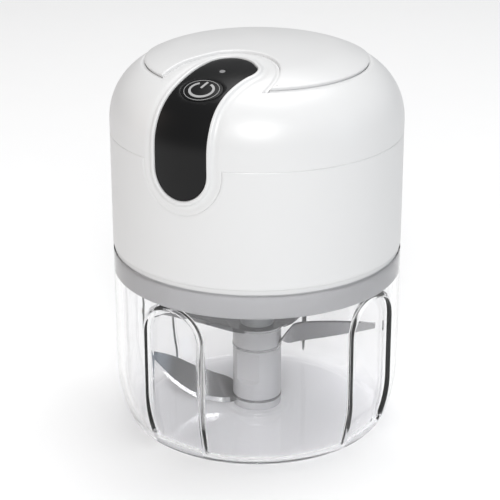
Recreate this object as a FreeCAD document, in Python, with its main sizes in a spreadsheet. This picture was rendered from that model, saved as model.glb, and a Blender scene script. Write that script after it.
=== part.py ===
"""Cordless mini food processor: a clear bowl with a three-blade stack and a lift-off motor unit.

The origin is the centre of the bowl's base, +Z is up and the control panel faces -Y. Millimetres.
"""
import FreeCAD, Part
import math
import os

import Sketcher
from FreeCAD import Placement, Rotation, Vector

os.makedirs("parts", exist_ok=True)
doc = FreeCAD.newDocument("mini_food_processor")

# --------------------------------------------------------------------------------------------
# Driving dimensions
# --------------------------------------------------------------------------------------------

DIMENSIONS = {
    # Overall body
    "body_radius": 42.5,        # bowl, shell and dome share one outer radius
    "shell_bottom": 57.0,       # lower edge of the white shell
    "shell_wall": 2.2,
    "seam_height": 91.2,        # joint between shell and dome cover
    "seam_gap": 0.2,
    "dome_start": 94.6,         # where the side starts to curve in
    "shoulder_radius": 18.2,
    "shoulder_angle": 59.4,
    "crown_radius": 29.3,
    "crown_angle": 82.4,
    # Bowl
    "bowl_height": 55.6,
    "bowl_wall": 2.0,
    "bowl_floor": 2.0,
    "base_radius": 35.0,
    "corner_height": 19.3,
    "corner_radius": 4.5,
    "floor_radius": 34.0,
    "floor_corner": 4.0,
    "flute_half_width": 8.9,
    "flute_spring": 38.0,       # height where the flute's arch begins
    "flute_plane": 39.9,        # distance of the flute's flat from the axis
    "flute_turn": -6.2,
    "bump_margin": 0.7,
    "boss_radius": 9.6,
    "boss_top": 3.0,
    "spindle_radius": 2.0,
    "spindle_foot": 1.0,
    "spindle_top": 28.0,
    # Blade stack
    "hub_bottom": 3.3,
    "hub_radius": 7.33,
    "core_radius": 3.4,
    "core_top": 33.0,
    "spindle_clearance": 0.06,
    "fit_gap": 0.05,
    "blade_thickness": 0.8,
    "ring_overhang": 0.12,      # how far a blade's ring stands out of the hub
    "top_ring_overhang": 0.6,
    "lower_blade_height": 5.65,
    "middle_blade_height": 22.35,
    "top_blade_height": 28.9,
    "flat_bottom": 11.2,
    "flat_top": 21.2,
    "flat_depth": 0.7,
    "flat_turn": 5.0,
    "cap_radius": 5.0,
    "hub_top": 45.5,
    "hex_socket": 3.75,         # corner radius of the hexagonal socket
    "hex_shaft": 3.6,           # corner radius of the hexagonal shaft
    "socket_floor": 35.0,
    "shaft_tip": 36.0,
    # Drive cover and seal
    "skirt_radius": 40.1,
    "skirt_bottom": 47.95,
    "skirt_top": 64.0,
    "skirt_wall": 2.0,
    "seal_radius": 42.1,
    "seal_bottom": 55.7,
    "shaft_hole": 5.0,
    # Motor
    "motor_bottom": 56.5,
    "motor_radius": 14.0,
    "motor_length": 36.0,
    "motor_wall": 1.2,
    "motor_shaft_radius": 1.15,
    "bushing_radius": 3.0,
    "running_gap": 0.04,
    "frame_bottom": 64.2,
    "frame_thickness": 2.5,
    "frame_radius": 39.8,
    "post_radius": 3.2,
    "post_height": 9.0,         # above the frame's underside
    "sleeve_wall": 2.0,
    "sleeve_height": 12.0,
    "magnet_gap": 0.6,
    "magnet_thickness": 2.2,
    "rotor_rise": 8.0,          # above the motor's underside
    "rotor_length": 16.0,
    "commutator_radius": 2.9,
    # Dome cover, panel and top plate
    "tongue_half_width": 12.4,
    "tongue_bottom": 77.25,
    "panel_half_width": 8.2,
    "panel_bottom": 81.35,
    "panel_thickness": 1.2,
    "panel_gap": 0.1,
    "rim_width": 1.3,
    "rim_height": 0.5,
    "plate_radius": 33.0,
    "plate_gap": 1.0,
    "plate_rise": 0.5,
    "plate_depth": 1.3,
    # Button and indicator, on the dome's slope
    "button_x": 1.7,
    "button_y": -33.05,
    "button_z": 110.55,
    "button_tilt": 29.6,
    "button_turn": 8.0,
    "button_length": 6.1,       # half of the oval's long axis
    "button_width": 4.15,
    "button_gap": 0.15,
    "flange_depth": 3.4,
    "flange_thickness": 0.8,
    "flange_overhang": 0.9,
    "button_travel": 0.8,
    "indicator_x": 3.2,
    "indicator_y": -24.5,
    "indicator_radius": 0.8,
    # Electrics
    "board_depth": 8.8,
    "board_length": 23.0,
    "board_width": 14.0,
    "board_thickness": 1.2,
    "switch_size": 6.0,
    "switch_height": 3.1,
    "battery_radius": 7.0,
    "battery_length": 50.0,
    "battery_y": 22.5,
    "battery_z": 82.0,
    "port_z": 72.0,
    "port_length": 9.0,
    "port_height": 3.2,
    "port_depth": 7.3,
    "flap_length": 14.0,
    "flap_height": 9.0,
    "flap_thickness": 1.0,
    "screw_radius": 1.25,
    "screw_head": 2.5,
    "screw_circle": 33.0,
    "screw_sink": 1.0,          # how deep the screw heads sit in the drive cover
    "screw_head_height": 1.55,
    "screw_reach": 8.0,         # above the frame's underside
    "cover_post_radius": 3.4,
    "board_post_radius": 1.8,
    "board_post_place": 9.2,    # either side of the button
    "board_screw_radius": 0.8,
    "board_screw_head": 1.6,
    "holder_wall": 1.5,
    "flap_bead": 0.45,          # radius of the port cover's hinge bead
}

dims = doc.addObject("Spreadsheet::Sheet", "dims")
for row, (alias, number) in enumerate(DIMENSIONS.items(), start=1):
    dims.set(f"A{row}", alias)
    dims.set(f"B{row}", str(number))
    dims.setAlias(f"B{row}", alias)
doc.recompute()


class Size:
    """A number together with the sheet formula that gives it."""

    def __init__(self, number, formula=None):
        self.number = float(number)
        self.formula = formula or f"{float(number):.6f}"

    def joined(self, sign, other, number):
        return Size(number, f"({self.formula} {sign} {as_size(other).formula})")

    def __add__(self, other):
        return self.joined("+", other, self.number + as_size(other).number)

    def __sub__(self, other):
        return self.joined("-", other, self.number - as_size(other).number)

    def __mul__(self, other):
        return self.joined("*", other, self.number * as_size(other).number)

    def __truediv__(self, other):
        return self.joined("/", other, self.number / as_size(other).number)

    def __radd__(self, other):
        return as_size(other) + self

    def __rsub__(self, other):
        return as_size(other) - self

    def __rmul__(self, other):
        return as_size(other) * self

    def __neg__(self):
        return Size(-self.number, f"(0 - {self.formula})")


def as_size(thing):
    return thing if isinstance(thing, Size) else Size(thing)


def cosine(angle):
    return Size(math.cos(math.radians(angle.number)), f"cos({angle.formula})")


def sine(angle):
    return Size(math.sin(math.radians(angle.number)), f"sin({angle.formula})")


class Sheet:
    """Reads the sheet's cells by name, as sizes."""

    def __getattr__(self, alias):
        return Size(float(dims.get(alias)), f"dims.{alias}")


d = Sheet()


def bind(thing, **values):
    """Ties properties to sheet formulas; a double underscore stands for a dot."""
    for name, value in values.items():
        thing.setExpression(name.replace("__", "."), as_size(value).formula)
    return thing


def move(thing, x=0, y=0, z=0):
    return bind(thing, Placement__Base__x=x, Placement__Base__y=y, Placement__Base__z=z)


# --------------------------------------------------------------------------------------------
# Sketches, bodies and booleans
# --------------------------------------------------------------------------------------------

def draw(sketch, path):
    """Closed outline through the corners (x, y). A third entry is the radius of the arc that
    leads on to the next corner: positive bends left, negative bends right."""
    corners = [Vector(as_size(corner[0]).number, as_size(corner[1]).number, 0) for corner in path]
    ends = []
    for index, corner in enumerate(path):
        start = corners[index]
        stop = corners[(index + 1) % len(path)]
        if len(corner) == 2:
            sketch.addGeometry(Part.LineSegment(start, stop), False)
            ends.append((1, 2))
            continue
        radius = as_size(corner[2]).number
        chord = stop - start
        rise = math.sqrt(max(radius ** 2 - (chord.Length / 2) ** 2, 0.0))
        left = Vector(-chord.y, chord.x, 0).normalize()
        centre = (start + stop) / 2 + left * math.copysign(rise, radius)
        first, last = (start, stop) if radius > 0 else (stop, start)
        angles = [math.atan2((end - centre).y, (end - centre).x) for end in (first, last)]
        circle = Part.Circle(centre, Vector(0, 0, 1), abs(radius))
        sketch.addGeometry(Part.ArcOfCircle(circle, angles[0], angles[1]), False)
        ends.append((1, 2) if radius > 0 else (2, 1))
    for index, corner in enumerate(path):
        following = (index + 1) % len(path)
        joint = (index, ends[index][1], following, ends[following][0])
        sketch.addConstraint(Sketcher.Constraint("Coincident", *joint))
    for index, corner in enumerate(path):
        limits = [("DistanceX", as_size(corner[0])), ("DistanceY", as_size(corner[1]))]
        for kind, size in limits:
            point = (-1, 1, index, ends[index][0], size.number)
            number = sketch.addConstraint(Sketcher.Constraint(kind, *point))
            sketch.setExpression(f"Constraints[{number}]", size.formula)
        if len(corner) == 3:
            size = as_size(corner[2])
            radius = Sketcher.Constraint("Radius", index, abs(size.number))
            number = sketch.addConstraint(radius)
            formula = size.formula if size.number > 0 else (-size).formula
            sketch.setExpression(f"Constraints[{number}]", formula)


def plane_sketch(body, role, path, offset=0, turn=0):
    """A sketch attached to one of the body's own origin planes."""
    sketch = body.newObject("Sketcher::SketchObject", body.Name + "_sketch")
    plane = [feature for feature in body.Origin.OriginFeatures if feature.Role == role][0]
    sketch.AttachmentSupport = (plane, [""])
    sketch.MapMode = "FlatFace"
    bind(sketch, AttachmentOffset__Base__z=offset)
    draw(sketch, path)
    return sketch


def turned(label, path):
    """A body turned about +Z from an outline of (radius, height) corners."""
    body = doc.addObject("PartDesign::Body", label)
    sketch = plane_sketch(body, "XZ_Plane", path)
    feature = body.newObject("PartDesign::Revolution", label + "_turn")
    feature.Profile = sketch
    feature.ReferenceAxis = (sketch, ["V_Axis"])
    feature.Angle = 360
    return body


def padded(label, role, path, length, offset=0, copies=1):
    """A body pushed out of one origin plane, and repeated about +Z when copies is above one."""
    body = doc.addObject("PartDesign::Body", label)
    sketch = plane_sketch(body, role, path, offset)
    feature = body.newObject("PartDesign::Pad", label + "_pad")
    feature.Profile = sketch
    bind(feature, Length=length)
    body.Tip = feature
    if copies > 1:
        body.AllowCompound = True
        axis = [part for part in body.Origin.OriginFeatures if part.Role == "Z_Axis"][0]
        pattern = body.newObject("PartDesign::PolarPattern", label + "_pattern")
        pattern.Originals = [feature]
        pattern.Axis = (axis, [""])
        pattern.Angle = 360
        pattern.Occurrences = copies
        body.Tip = pattern
    return body


def cylinder(label, radius, bottom, top):
    thing = doc.addObject("Part::Cylinder", label)
    bind(thing, Radius=radius, Height=top - as_size(bottom))
    return move(thing, z=bottom)


def hexagon(label, corner, bottom, top):
    thing = doc.addObject("Part::Prism", label)
    thing.Polygon = 6
    bind(thing, Circumradius=corner, Height=top - as_size(bottom))
    return move(thing, z=bottom)


def block(label, x, y, z, length, width, height):
    """A box centred on x and y that stands on z."""
    thing = doc.addObject("Part::Box", label)
    bind(thing, Length=length, Width=width, Height=height)
    return move(thing, x - as_size(length) / 2, y - as_size(width) / 2, z)


def cut(label, base, *tools):
    """The base less every tool, one after the other."""
    for count, tool in enumerate(tools, start=1):
        name = label if count == len(tools) else f"{label}_less_{count}"
        thing = doc.addObject("Part::Cut", name)
        thing.Base = base
        thing.Tool = tool
        base = thing
    return base


def fuse(label, *pieces):
    thing = doc.addObject("Part::MultiFuse", label)
    thing.Shapes = list(pieces)
    return thing


def common(label, *pieces):
    thing = doc.addObject("Part::MultiCommon", label)
    thing.Shapes = list(pieces)
    return thing


def ring(label, outer, inner, bottom, top):
    margin = 1
    solid = cylinder(label + "_solid", outer, bottom, top)
    hole = cylinder(label + "_hole", inner, as_size(bottom) - margin, as_size(top) + margin)
    return cut(label, solid, hole)


def around(label, piece, places):
    """One node of identical separate solids: the piece repeated at each (x, y)."""
    copies = []
    for count, (x, y) in enumerate(places, start=1):
        copy = doc.addObject("Part::Compound", f"{label}_{count}")
        copy.Links = [piece]
        move(copy, x, y)
        copies.append(copy)
    group = doc.addObject("Part::Compound", label)
    group.Links = copies
    return group


# --------------------------------------------------------------------------------------------
# Outer form of the dome: three tangent arcs, offset by a depth
# --------------------------------------------------------------------------------------------

shoulder_x = d.body_radius - d.shoulder_radius
crown_x = shoulder_x + (d.shoulder_radius - d.crown_radius) * cosine(d.shoulder_angle)
crown_z = d.dome_start + (d.shoulder_radius - d.crown_radius) * sine(d.shoulder_angle)
top_radius = d.crown_radius + crown_x / cosine(d.crown_angle)
top_z = crown_z + (d.crown_radius - top_radius) * sine(d.crown_angle)


def dome_joints(rise):
    """The two points where the dome's arcs meet, and its top, for a surface raised by rise."""
    shoulder = d.shoulder_radius + rise
    crown = d.crown_radius + rise
    lower = (shoulder_x + shoulder * cosine(d.shoulder_angle),
             d.dome_start + shoulder * sine(d.shoulder_angle))
    upper = (crown_x + crown * cosine(d.crown_angle), crown_z + crown * sine(d.crown_angle))
    return lower, upper, (0, top_z + top_radius + rise)


def dome_solid(label, rise, bottom):
    """Everything under the dome surface raised by rise, down to bottom."""
    lower, upper, top = dome_joints(as_size(rise))
    path = [
        (0, bottom),
        (d.body_radius + rise, bottom),
        (d.body_radius + rise, d.dome_start, d.shoulder_radius + rise),
        (*lower, d.crown_radius + rise),
        (*upper, top_radius + rise),
        top,
    ]
    return turned(label, path)


def dome_layer(label, rise, depth, bottom):
    """The layer between the dome surface raised by rise and the one sunk by depth."""
    lower, upper, top = dome_joints(as_size(rise))
    low_in, up_in, top_in = dome_joints(-as_size(depth))
    path = [
        (d.body_radius - depth, bottom),
        (d.body_radius + rise, bottom),
        (d.body_radius + rise, d.dome_start, d.shoulder_radius + rise),
        (*lower, d.crown_radius + rise),
        (*upper, top_radius + rise),
        top,
        (*top_in, depth - top_radius),
        (*up_in, depth - d.crown_radius),
        (*low_in, depth - d.shoulder_radius),
        (d.body_radius - depth, d.dome_start),
    ]
    return turned(label, path)


# --------------------------------------------------------------------------------------------
# Outlines that cut the dome: panel, tongue and the hook in the top plate
# --------------------------------------------------------------------------------------------

def flat_outline(label, path, placement):
    sketch = doc.addObject("Sketcher::SketchObject", label)
    draw(sketch, path)
    sketch.Placement = placement
    return sketch


def grown_prism(label, outline, grow, start, length):
    """The outline grown outwards by grow, pushed along its normal from start over length."""
    if as_size(grow).number:
        wider = doc.addObject("Part::Offset2D", label + "_outline")
        wider.Source = outline
        wider.Join = 0
        bind(wider, Value=grow)
        outline = wider
    prism = doc.addObject("Part::Extrusion", label)
    prism.Base = outline
    prism.DirMode = "Normal"
    prism.LengthFwd = start + length
    prism.LengthRev = -start
    prism.Solid = True
    return prism


def u_outline(label, half_width, bottom, top):
    """A strip on the XZ plane with a round lower end."""
    path = [
        (half_width, bottom + half_width),
        (half_width, top),
        (-half_width, top),
        (-half_width, bottom + half_width, half_width),
        (0, bottom, half_width),
    ]
    facing_front = Placement(Vector(0, 0, 0), Rotation(Vector(1, 0, 0), 90))
    return flat_outline(label, path, facing_front)


# The tongue is a round-ended strip seen from the front.
tongue_outline = u_outline("tongue_outline", d.tongue_half_width, d.tongue_bottom, 95)

# The panel is a round-ended strip on the side, and a comma-shaped head seen from 45 degrees
# above the front. Along that slope the head's heights count from the frame's origin.
panel_foot_outline = u_outline("panel_foot_outline", d.panel_half_width, d.panel_bottom, 99)
head_path = [
    (d.panel_half_width, 38),
    (d.panel_half_width, 45, -50),
    (11.2, 62.6, 3.9),
    (9.6, 68.4, 9.9),
    (3.0, 71.0, 6.9),
    (-3.5, 67.2),
    (-6.9, 52, 57),
    (-d.panel_half_width, 40),
    (-d.panel_half_width, 38),
]
from_above = Placement(Vector(0, 0, 0), Rotation(Vector(1, 0, 0), 45))
panel_head_outline = flat_outline("panel_head_outline", head_path, from_above)

# The hook is seen from straight above: it wraps round the panel's head and opens to the front.
hook_path = [
    (17.0, -38),
    (16.6, -30.4, 15.2),
    (14.9, -15.6, 12.6),
    (-4.5, -13.6, 57),
    (-12.5, -30.3),
    (-16.0, -38),
]
hook_outline = flat_outline("hook_outline", hook_path, Placement())


def inside_panel(label, layer, grow):
    """What of a dome layer lies inside the panel's outline grown outwards: foot and head."""
    foot = grown_prism(label + "_foot_prism", panel_foot_outline, grow, 20, 40)
    head = grown_prism(label + "_head_prism", panel_head_outline, grow, 70, 50)
    return common(label + "_foot", layer, foot), common(label + "_head", layer, head)


# --------------------------------------------------------------------------------------------
# Bowl and its spindle
# --------------------------------------------------------------------------------------------

def bowl_corner(bottom_radius, side_radius, bottom, small):
    """A base corner of two tangent arcs: a small one off the floor, a long one up the side."""
    run = side_radius - bottom_radius
    rise = d.corner_height - bottom
    climb = rise - small
    large = (climb * climb + run * run - small * small) / ((run - small) * 2)
    reach = large - run
    length = large - small
    joint = (side_radius - large + large * reach / length, d.corner_height - large * climb / length)
    return [(bottom_radius, bottom, small), (*joint, large), (side_radius, d.corner_height)]


def arch(label, half_width, spring, plane):
    """Four arched blocks round the axis, from a flat at the given distance outwards."""
    path = [
        (half_width, 0),
        (half_width, spring, half_width),
        (0, spring + half_width, half_width),
        (-half_width, spring),
        (-half_width, 0),
    ]
    blocks = padded(label, "XZ_Plane", path, 10, offset=plane, copies=4)
    blocks.Placement.Rotation = Rotation(Vector(0, 0, 1), 0)
    return bind(blocks, Placement__Rotation__Angle=d.flute_turn)


bowl_inner = d.body_radius - d.bowl_wall
bowl_form = turned("bowl_form", [
    (0, 0),
    *bowl_corner(d.base_radius, d.body_radius, as_size(0), d.corner_radius),
    (d.body_radius, d.bowl_height),
    (0, d.bowl_height),
])
bowl_cavity = turned("bowl_cavity", [
    (0, d.bowl_floor),
    *bowl_corner(d.floor_radius, bowl_inner, d.bowl_floor, d.floor_corner),
    (bowl_inner, d.bowl_height + 1),
    (0, d.bowl_height + 1),
])
flutes = arch("flutes", d.flute_half_width, d.flute_spring, d.flute_plane)
bumps = arch("bumps", d.flute_half_width + d.bump_margin, d.flute_spring,
             d.flute_plane - d.bowl_wall)
boss = cylinder("bowl_boss", d.boss_radius, 1, d.boss_top)
pin_hole = cylinder("pin_hole", d.spindle_radius, d.spindle_foot, d.boss_top + 1)
bowl_hollow = cut("bowl_hollow", bowl_cavity, bumps)
bowl_walls = cut("bowl_walls", bowl_form, flutes, bowl_hollow)
bowl = cut("bowl", fuse("bowl_with_boss", bowl_walls, boss), pin_hole)
bowl_spindle = cylinder("bowl_spindle", d.spindle_radius, d.spindle_foot, d.spindle_top)

# --------------------------------------------------------------------------------------------
# Blade stack: hub, three blades, two spacers and the cap that takes the drive shaft
# --------------------------------------------------------------------------------------------

hub_bore = d.spindle_radius + d.spindle_clearance
blade_hub = turned("blade_hub", [
    (hub_bore, d.hub_bottom),
    (d.hub_radius, d.hub_bottom),
    (d.hub_radius, d.lower_blade_height),
    (d.core_radius, d.lower_blade_height),
    (d.core_radius, d.core_top),
    (0, d.core_top),
    (0, d.spindle_top + 1),
    (hub_bore, d.spindle_top + 1),
])

spacer_bore = d.core_radius + d.fit_gap
lower_spacer_round = ring("lower_spacer_round", d.hub_radius, spacer_bore,
                          d.lower_blade_height + d.blade_thickness, d.middle_blade_height)
spacer_flat = block("spacer_flat", 0, -d.hub_radius, d.flat_bottom,
                    8, d.flat_depth * 2, d.flat_top - d.flat_bottom)
lower_spacer = cut("lower_spacer", lower_spacer_round, spacer_flat)
upper_spacer = ring("upper_spacer", d.hub_radius, spacer_bore,
                    d.middle_blade_height + d.blade_thickness, d.top_blade_height)

hub_cap_solid = cylinder("hub_cap_solid", d.cap_radius, d.top_blade_height + d.blade_thickness,
                         d.hub_top)
hub_cap_bore = cylinder("hub_cap_bore", spacer_bore, d.top_blade_height,
                        d.core_top + d.fit_gap)
hub_cap_socket = hexagon("hub_cap_socket", d.hex_socket, d.socket_floor, d.hub_top + 1)
hub_cap = cut("hub_cap", hub_cap_solid, hub_cap_bore, hub_cap_socket)


def blade_section(label, reach, drift, rise, chord, pitch):
    """A thin bevelled section across an arm that runs along +X: reach from the axis, drift
    sideways, rise above the ring, width of the plate and its pitch from flat."""
    thick = d.blade_thickness
    path = [
        (-chord / 2, -thick / 2),
        (chord / 2, -thick / 8),
        (chord / 2, thick / 8),
        (-chord / 2, thick / 2),
    ]
    sketch = doc.addObject("Sketcher::SketchObject", label)
    draw(sketch, path)
    upright = Rotation(Vector(0, 1, 0), Vector(0, 0, 1), Vector(1, 0, 0), "XYZ")
    pitched = Rotation(Vector(1, 0, 0), pitch)
    sketch.Placement = Placement(Vector(reach, drift, rise), pitched.multiply(upright))
    return sketch


def blade_arm(label, turn, stations):
    sections = []
    for count, station in enumerate(stations, start=1):
        sections.append(blade_section(f"{label}_section_{count}", *station))
    arm = doc.addObject("Part::Loft", label)
    arm.Sections = sections
    arm.Solid = True
    arm.Placement.Rotation = Rotation(Vector(0, 0, 1), turn)
    return arm


def blade(label, height, overhang, radius_above, arms):
    """A ring clamped in the hub with its arms; each arm is a turn and a list of stations. The
    arms are cut clear of the hub pieces that clamp the ring from below and from above."""
    plate = cylinder(label + "_plate", d.hub_radius + overhang, 0, d.blade_thickness)
    pieces = [plate]
    for count, (turn, stations) in enumerate(arms, start=1):
        pieces.append(blade_arm(f"{label}_arm_{count}", turn, stations))
    hole = cylinder(label + "_hole", spacer_bore, -1, 2)
    below = cylinder(label + "_clamp_below", d.hub_radius + d.fit_gap, -10, 0)
    above = cylinder(label + "_clamp_above", radius_above + d.fit_gap, d.blade_thickness, 10)
    thing = cut(label, fuse(label + "_body", *pieces), hole, below, above)
    return move(thing, z=height)


# Stations: reach, drift, rise, chord, pitch. A negative pitch lowers the cutting edge, which
# leads as the stack turns anticlockwise seen from above.
lower_arm = [
    (5.6, 0, 0.4, 8, 0),
    (9.0, 0, 1.2, 8.5, -38),
    (14.0, 0.5, 2.6, 9, -55),
    (19.0, 0.5, 4.6, 9.5, -62),
    (25.0, 1.0, 8.6, 8, -64),
    (32.0, 3.0, 14.5, 2.5, -64),
]
middle_arm = [
    (5.6, 0, 0.4, 8, 0),
    (9.5, 0, 2.4, 8.5, -48),
    (13.0, 0.5, 3.7, 8, -65),
    (24.5, 1.5, 4.4, 6, -65),
    (35.0, 3.0, 4.6, 2, -65),
]
top_arm = [
    (5.6, 0, 0.4, 13, 0),
    (10.0, 0, 1.2, 11.5, 3),
    (18.0, 1.0, 4.2, 8, 5),
    (27.0, 2.6, 7.8, 5.5, 6),
    (33.0, 4.0, 10.0, 2, 6),
]
lower_blade = blade("lower_blade", d.lower_blade_height, d.ring_overhang, d.hub_radius,
                    [(-150, lower_arm)])
middle_blade = blade("middle_blade", d.middle_blade_height, d.ring_overhang, d.hub_radius,
                     [(30, middle_arm)])
top_blade = blade("top_blade", d.top_blade_height, d.top_ring_overhang, d.cap_radius,
                  [(-135, top_arm), (60, top_arm)])

# --------------------------------------------------------------------------------------------
# Drive cover, seals and the drive shaft
# --------------------------------------------------------------------------------------------

skirt_inner = d.skirt_radius - d.skirt_wall
plate_top = d.skirt_bottom + d.skirt_wall
drive_cover_form = turned("drive_cover_form", [
    (d.shaft_hole, d.skirt_bottom),
    (d.skirt_radius - 0.8, d.skirt_bottom, 0.8),
    (d.skirt_radius, d.skirt_bottom + 0.8),
    (d.skirt_radius, d.skirt_top),
    (skirt_inner, d.skirt_top),
    (skirt_inner, plate_top),
    (d.shaft_hole + 4, plate_top),
    (d.shaft_hole + 4, plate_top + 3),
    (d.shaft_hole, plate_top + 3),
])
screw_places = [(d.screw_circle * (x / 2 ** 0.5), d.screw_circle * (y / 2 ** 0.5))
                for x in (-1, 1) for y in (-1, 1)]
cover_post = cylinder("cover_post", d.cover_post_radius, plate_top - 0.5,
                      d.frame_bottom - d.fit_gap)
cover_posts = around("cover_posts", cover_post, screw_places)
screw_seat = d.skirt_bottom + d.screw_sink + d.screw_head_height
screw_way = turned("screw_way", [
    (0, d.skirt_bottom - 1),
    (d.screw_head + 0.2, d.skirt_bottom - 1),
    (d.screw_head + 0.2, screw_seat + d.fit_gap),
    (d.screw_radius + 0.15, screw_seat + d.fit_gap),
    (d.screw_radius + 0.15, d.frame_bottom + 1),
    (0, d.frame_bottom + 1),
])
screw_ways = around("screw_ways", screw_way, screw_places)
drive_cover = cut("drive_cover", fuse("drive_cover_body", drive_cover_form, cover_posts),
                  screw_ways)

housing_screw = turned("housing_screw", [
    (0, d.skirt_bottom + d.screw_sink),
    (d.screw_head, d.skirt_bottom + d.screw_sink),
    (d.screw_head, screw_seat),
    (d.screw_radius, screw_seat),
    (d.screw_radius, d.frame_bottom + d.screw_reach),
    (0, d.frame_bottom + d.screw_reach),
])
housing_screws = around("housing_screws", housing_screw, screw_places)

seal_ring = turned("seal_ring", [
    (d.skirt_radius + d.fit_gap, d.seal_bottom),
    (d.seal_radius, d.seal_bottom),
    (d.seal_radius, d.shell_bottom - d.fit_gap),
    (d.skirt_radius + d.fit_gap, d.shell_bottom - d.fit_gap),
])

shaft_seal = turned("shaft_seal", [
    (d.hex_shaft + 0.3, d.skirt_bottom + 0.3),
    (d.shaft_hole - d.fit_gap, d.skirt_bottom + 0.3),
    (d.shaft_hole - d.fit_gap, plate_top + 2.8),
    (d.hex_shaft + 0.6, plate_top + 2.8),
    (d.hex_shaft + 0.6, plate_top),
])

shaft_top = d.motor_bottom - 2.6
drive_shaft = cut(
    "drive_shaft",
    hexagon("drive_shaft_solid", d.hex_shaft, d.shaft_tip, shaft_top),
    cylinder("drive_shaft_bore", d.motor_shaft_radius, shaft_top - 8, shaft_top + 1),
)

# --------------------------------------------------------------------------------------------
# Motor
# --------------------------------------------------------------------------------------------

motor_top = d.motor_bottom + d.motor_length
can_inner = d.motor_radius - d.motor_wall
motor_can = turned("motor_can", [
    (d.bushing_radius + d.fit_gap, d.motor_bottom),
    (d.motor_radius, d.motor_bottom),
    (d.motor_radius, motor_top),
    (can_inner, motor_top),
    (can_inner, d.motor_bottom + d.motor_wall),
    (d.bushing_radius + d.fit_gap, d.motor_bottom + d.motor_wall),
])
motor_shaft = cylinder("motor_shaft", d.motor_shaft_radius, shaft_top - 8, motor_top + 2.5)
bushing_bore = d.motor_shaft_radius + d.running_gap
lower_bushing = ring("lower_bushing", d.bushing_radius, bushing_bore,
                     d.motor_bottom - 1, d.motor_bottom + 3)
upper_bushing = ring("upper_bushing", d.bushing_radius, bushing_bore, motor_top - 2,
                     motor_top + 1)
motor_end_cap = turned("motor_end_cap", [
    (d.bushing_radius + d.fit_gap, motor_top - 2),
    (can_inner - d.fit_gap, motor_top - 2),
    (can_inner - d.fit_gap, motor_top + 0.2),
    (d.bushing_radius + 1.5, motor_top + 0.2),
    (d.bushing_radius + 1.5, motor_top + 1),
    (d.bushing_radius + d.fit_gap, motor_top + 1),
])
rotor_radius = can_inner - d.magnet_thickness - d.magnet_gap
rotor_bottom = d.motor_bottom + d.rotor_rise
rotor_top = rotor_bottom + d.rotor_length
rotor_round = ring("rotor_round", rotor_radius, d.motor_shaft_radius + d.fit_gap, rotor_bottom,
                   rotor_top)
slot_path = [(-0.9, 4.5), (0.9, 4.5), (0.9, 12), (-0.9, 12)]
rotor_slots = padded("rotor_slots", "XY_Plane", slot_path, 30, offset=rotor_bottom - 2, copies=5)
rotor_core = cut("rotor_core", rotor_round, rotor_slots)
rotor_winding = turned("rotor_winding", [
    (3.2, rotor_top + 0.2),
    (rotor_radius - 1.2, rotor_top + 0.2),
    (rotor_radius - 1.2, rotor_top + 2.2, 1.2),
    (rotor_radius - 2.4, rotor_top + 3.4),
    (3.2, rotor_top + 3.4),
])
commutator = ring("commutator", d.commutator_radius, d.motor_shaft_radius + d.fit_gap, rotor_top + 0.2,
                  rotor_top + 6)
magnet_ring = ring("magnet_ring", can_inner - d.fit_gap, rotor_radius + d.magnet_gap,
                   rotor_bottom - 2, rotor_top + 2)
magnet_gap = block("magnet_gap", 0, 0, rotor_bottom - 3, 6, 40, 24)
field_magnets = cut("field_magnets", magnet_ring, magnet_gap)

# The frame is a disc on the drive cover's posts. The motor hangs through it in a clamping sleeve.
frame_top = d.frame_bottom + d.frame_thickness
sleeve = d.motor_radius + d.fit_gap
motor_frame_form = turned("motor_frame_form", [
    (sleeve, d.frame_bottom),
    (d.frame_radius, d.frame_bottom),
    (d.frame_radius, frame_top),
    (sleeve + d.sleeve_wall, frame_top),
    (sleeve + d.sleeve_wall, frame_top + d.sleeve_height),
    (sleeve, frame_top + d.sleeve_height),
])
frame_post = cylinder("frame_post", d.post_radius, frame_top - 0.5,
                      d.frame_bottom + d.post_height)
frame_screw_hole = cylinder("frame_screw_hole", d.screw_radius, d.frame_bottom - 1,
                            d.frame_bottom + d.screw_reach)
motor_frame = cut(
    "motor_frame",
    fuse("motor_frame_body", motor_frame_form, around("frame_posts", frame_post, screw_places)),
    around("frame_screw_holes", frame_screw_hole, screw_places),
)

# --------------------------------------------------------------------------------------------
# Housing shell, with the notch for the dome's tongue and the charging port
# --------------------------------------------------------------------------------------------

shell_inner = d.body_radius - d.shell_wall
lip_outer = shell_inner - d.seam_gap
shell_top = d.seam_height - d.seam_gap
shell_form = turned("shell_form", [
    (shell_inner, d.shell_bottom),
    (d.body_radius - 0.5, d.shell_bottom, 0.5),
    (d.body_radius, d.shell_bottom + 0.5),
    (d.body_radius, shell_top),
    (lip_outer, shell_top),
    (lip_outer, shell_top + 3),
    (lip_outer - 1.2, shell_top + 3),
    (lip_outer - 1.2, shell_top - 16),
    (shell_inner, shell_top - 18),
])
notch_wall = ring("notch_wall", d.body_radius + 1, lip_outer, 60, 100)
notch_prism = grown_prism("notch_prism", tongue_outline, d.seam_gap, 20, 40)
port_y = d.body_radius - d.flap_thickness
port_hole = block("port_hole", 0, d.body_radius, d.port_z - d.port_height / 2 - 0.2,
                  d.port_length + 0.4, 12, d.port_height + 0.4)
port_seat = block("port_seat", 0, d.body_radius + 4 - d.flap_thickness,
                  d.port_z - d.flap_height / 2 - 0.3, d.flap_length + 0.6, 8,
                  d.flap_height + 0.6)
housing_shell = cut("housing_shell", shell_form,
                    common("shell_notch", notch_wall, notch_prism), port_hole, port_seat)

# --------------------------------------------------------------------------------------------
# Dome cover: a domed wall over the seam, a tongue below it, a recess for the panel with a
# raised rim, and a recess for the top plate
# --------------------------------------------------------------------------------------------

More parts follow.
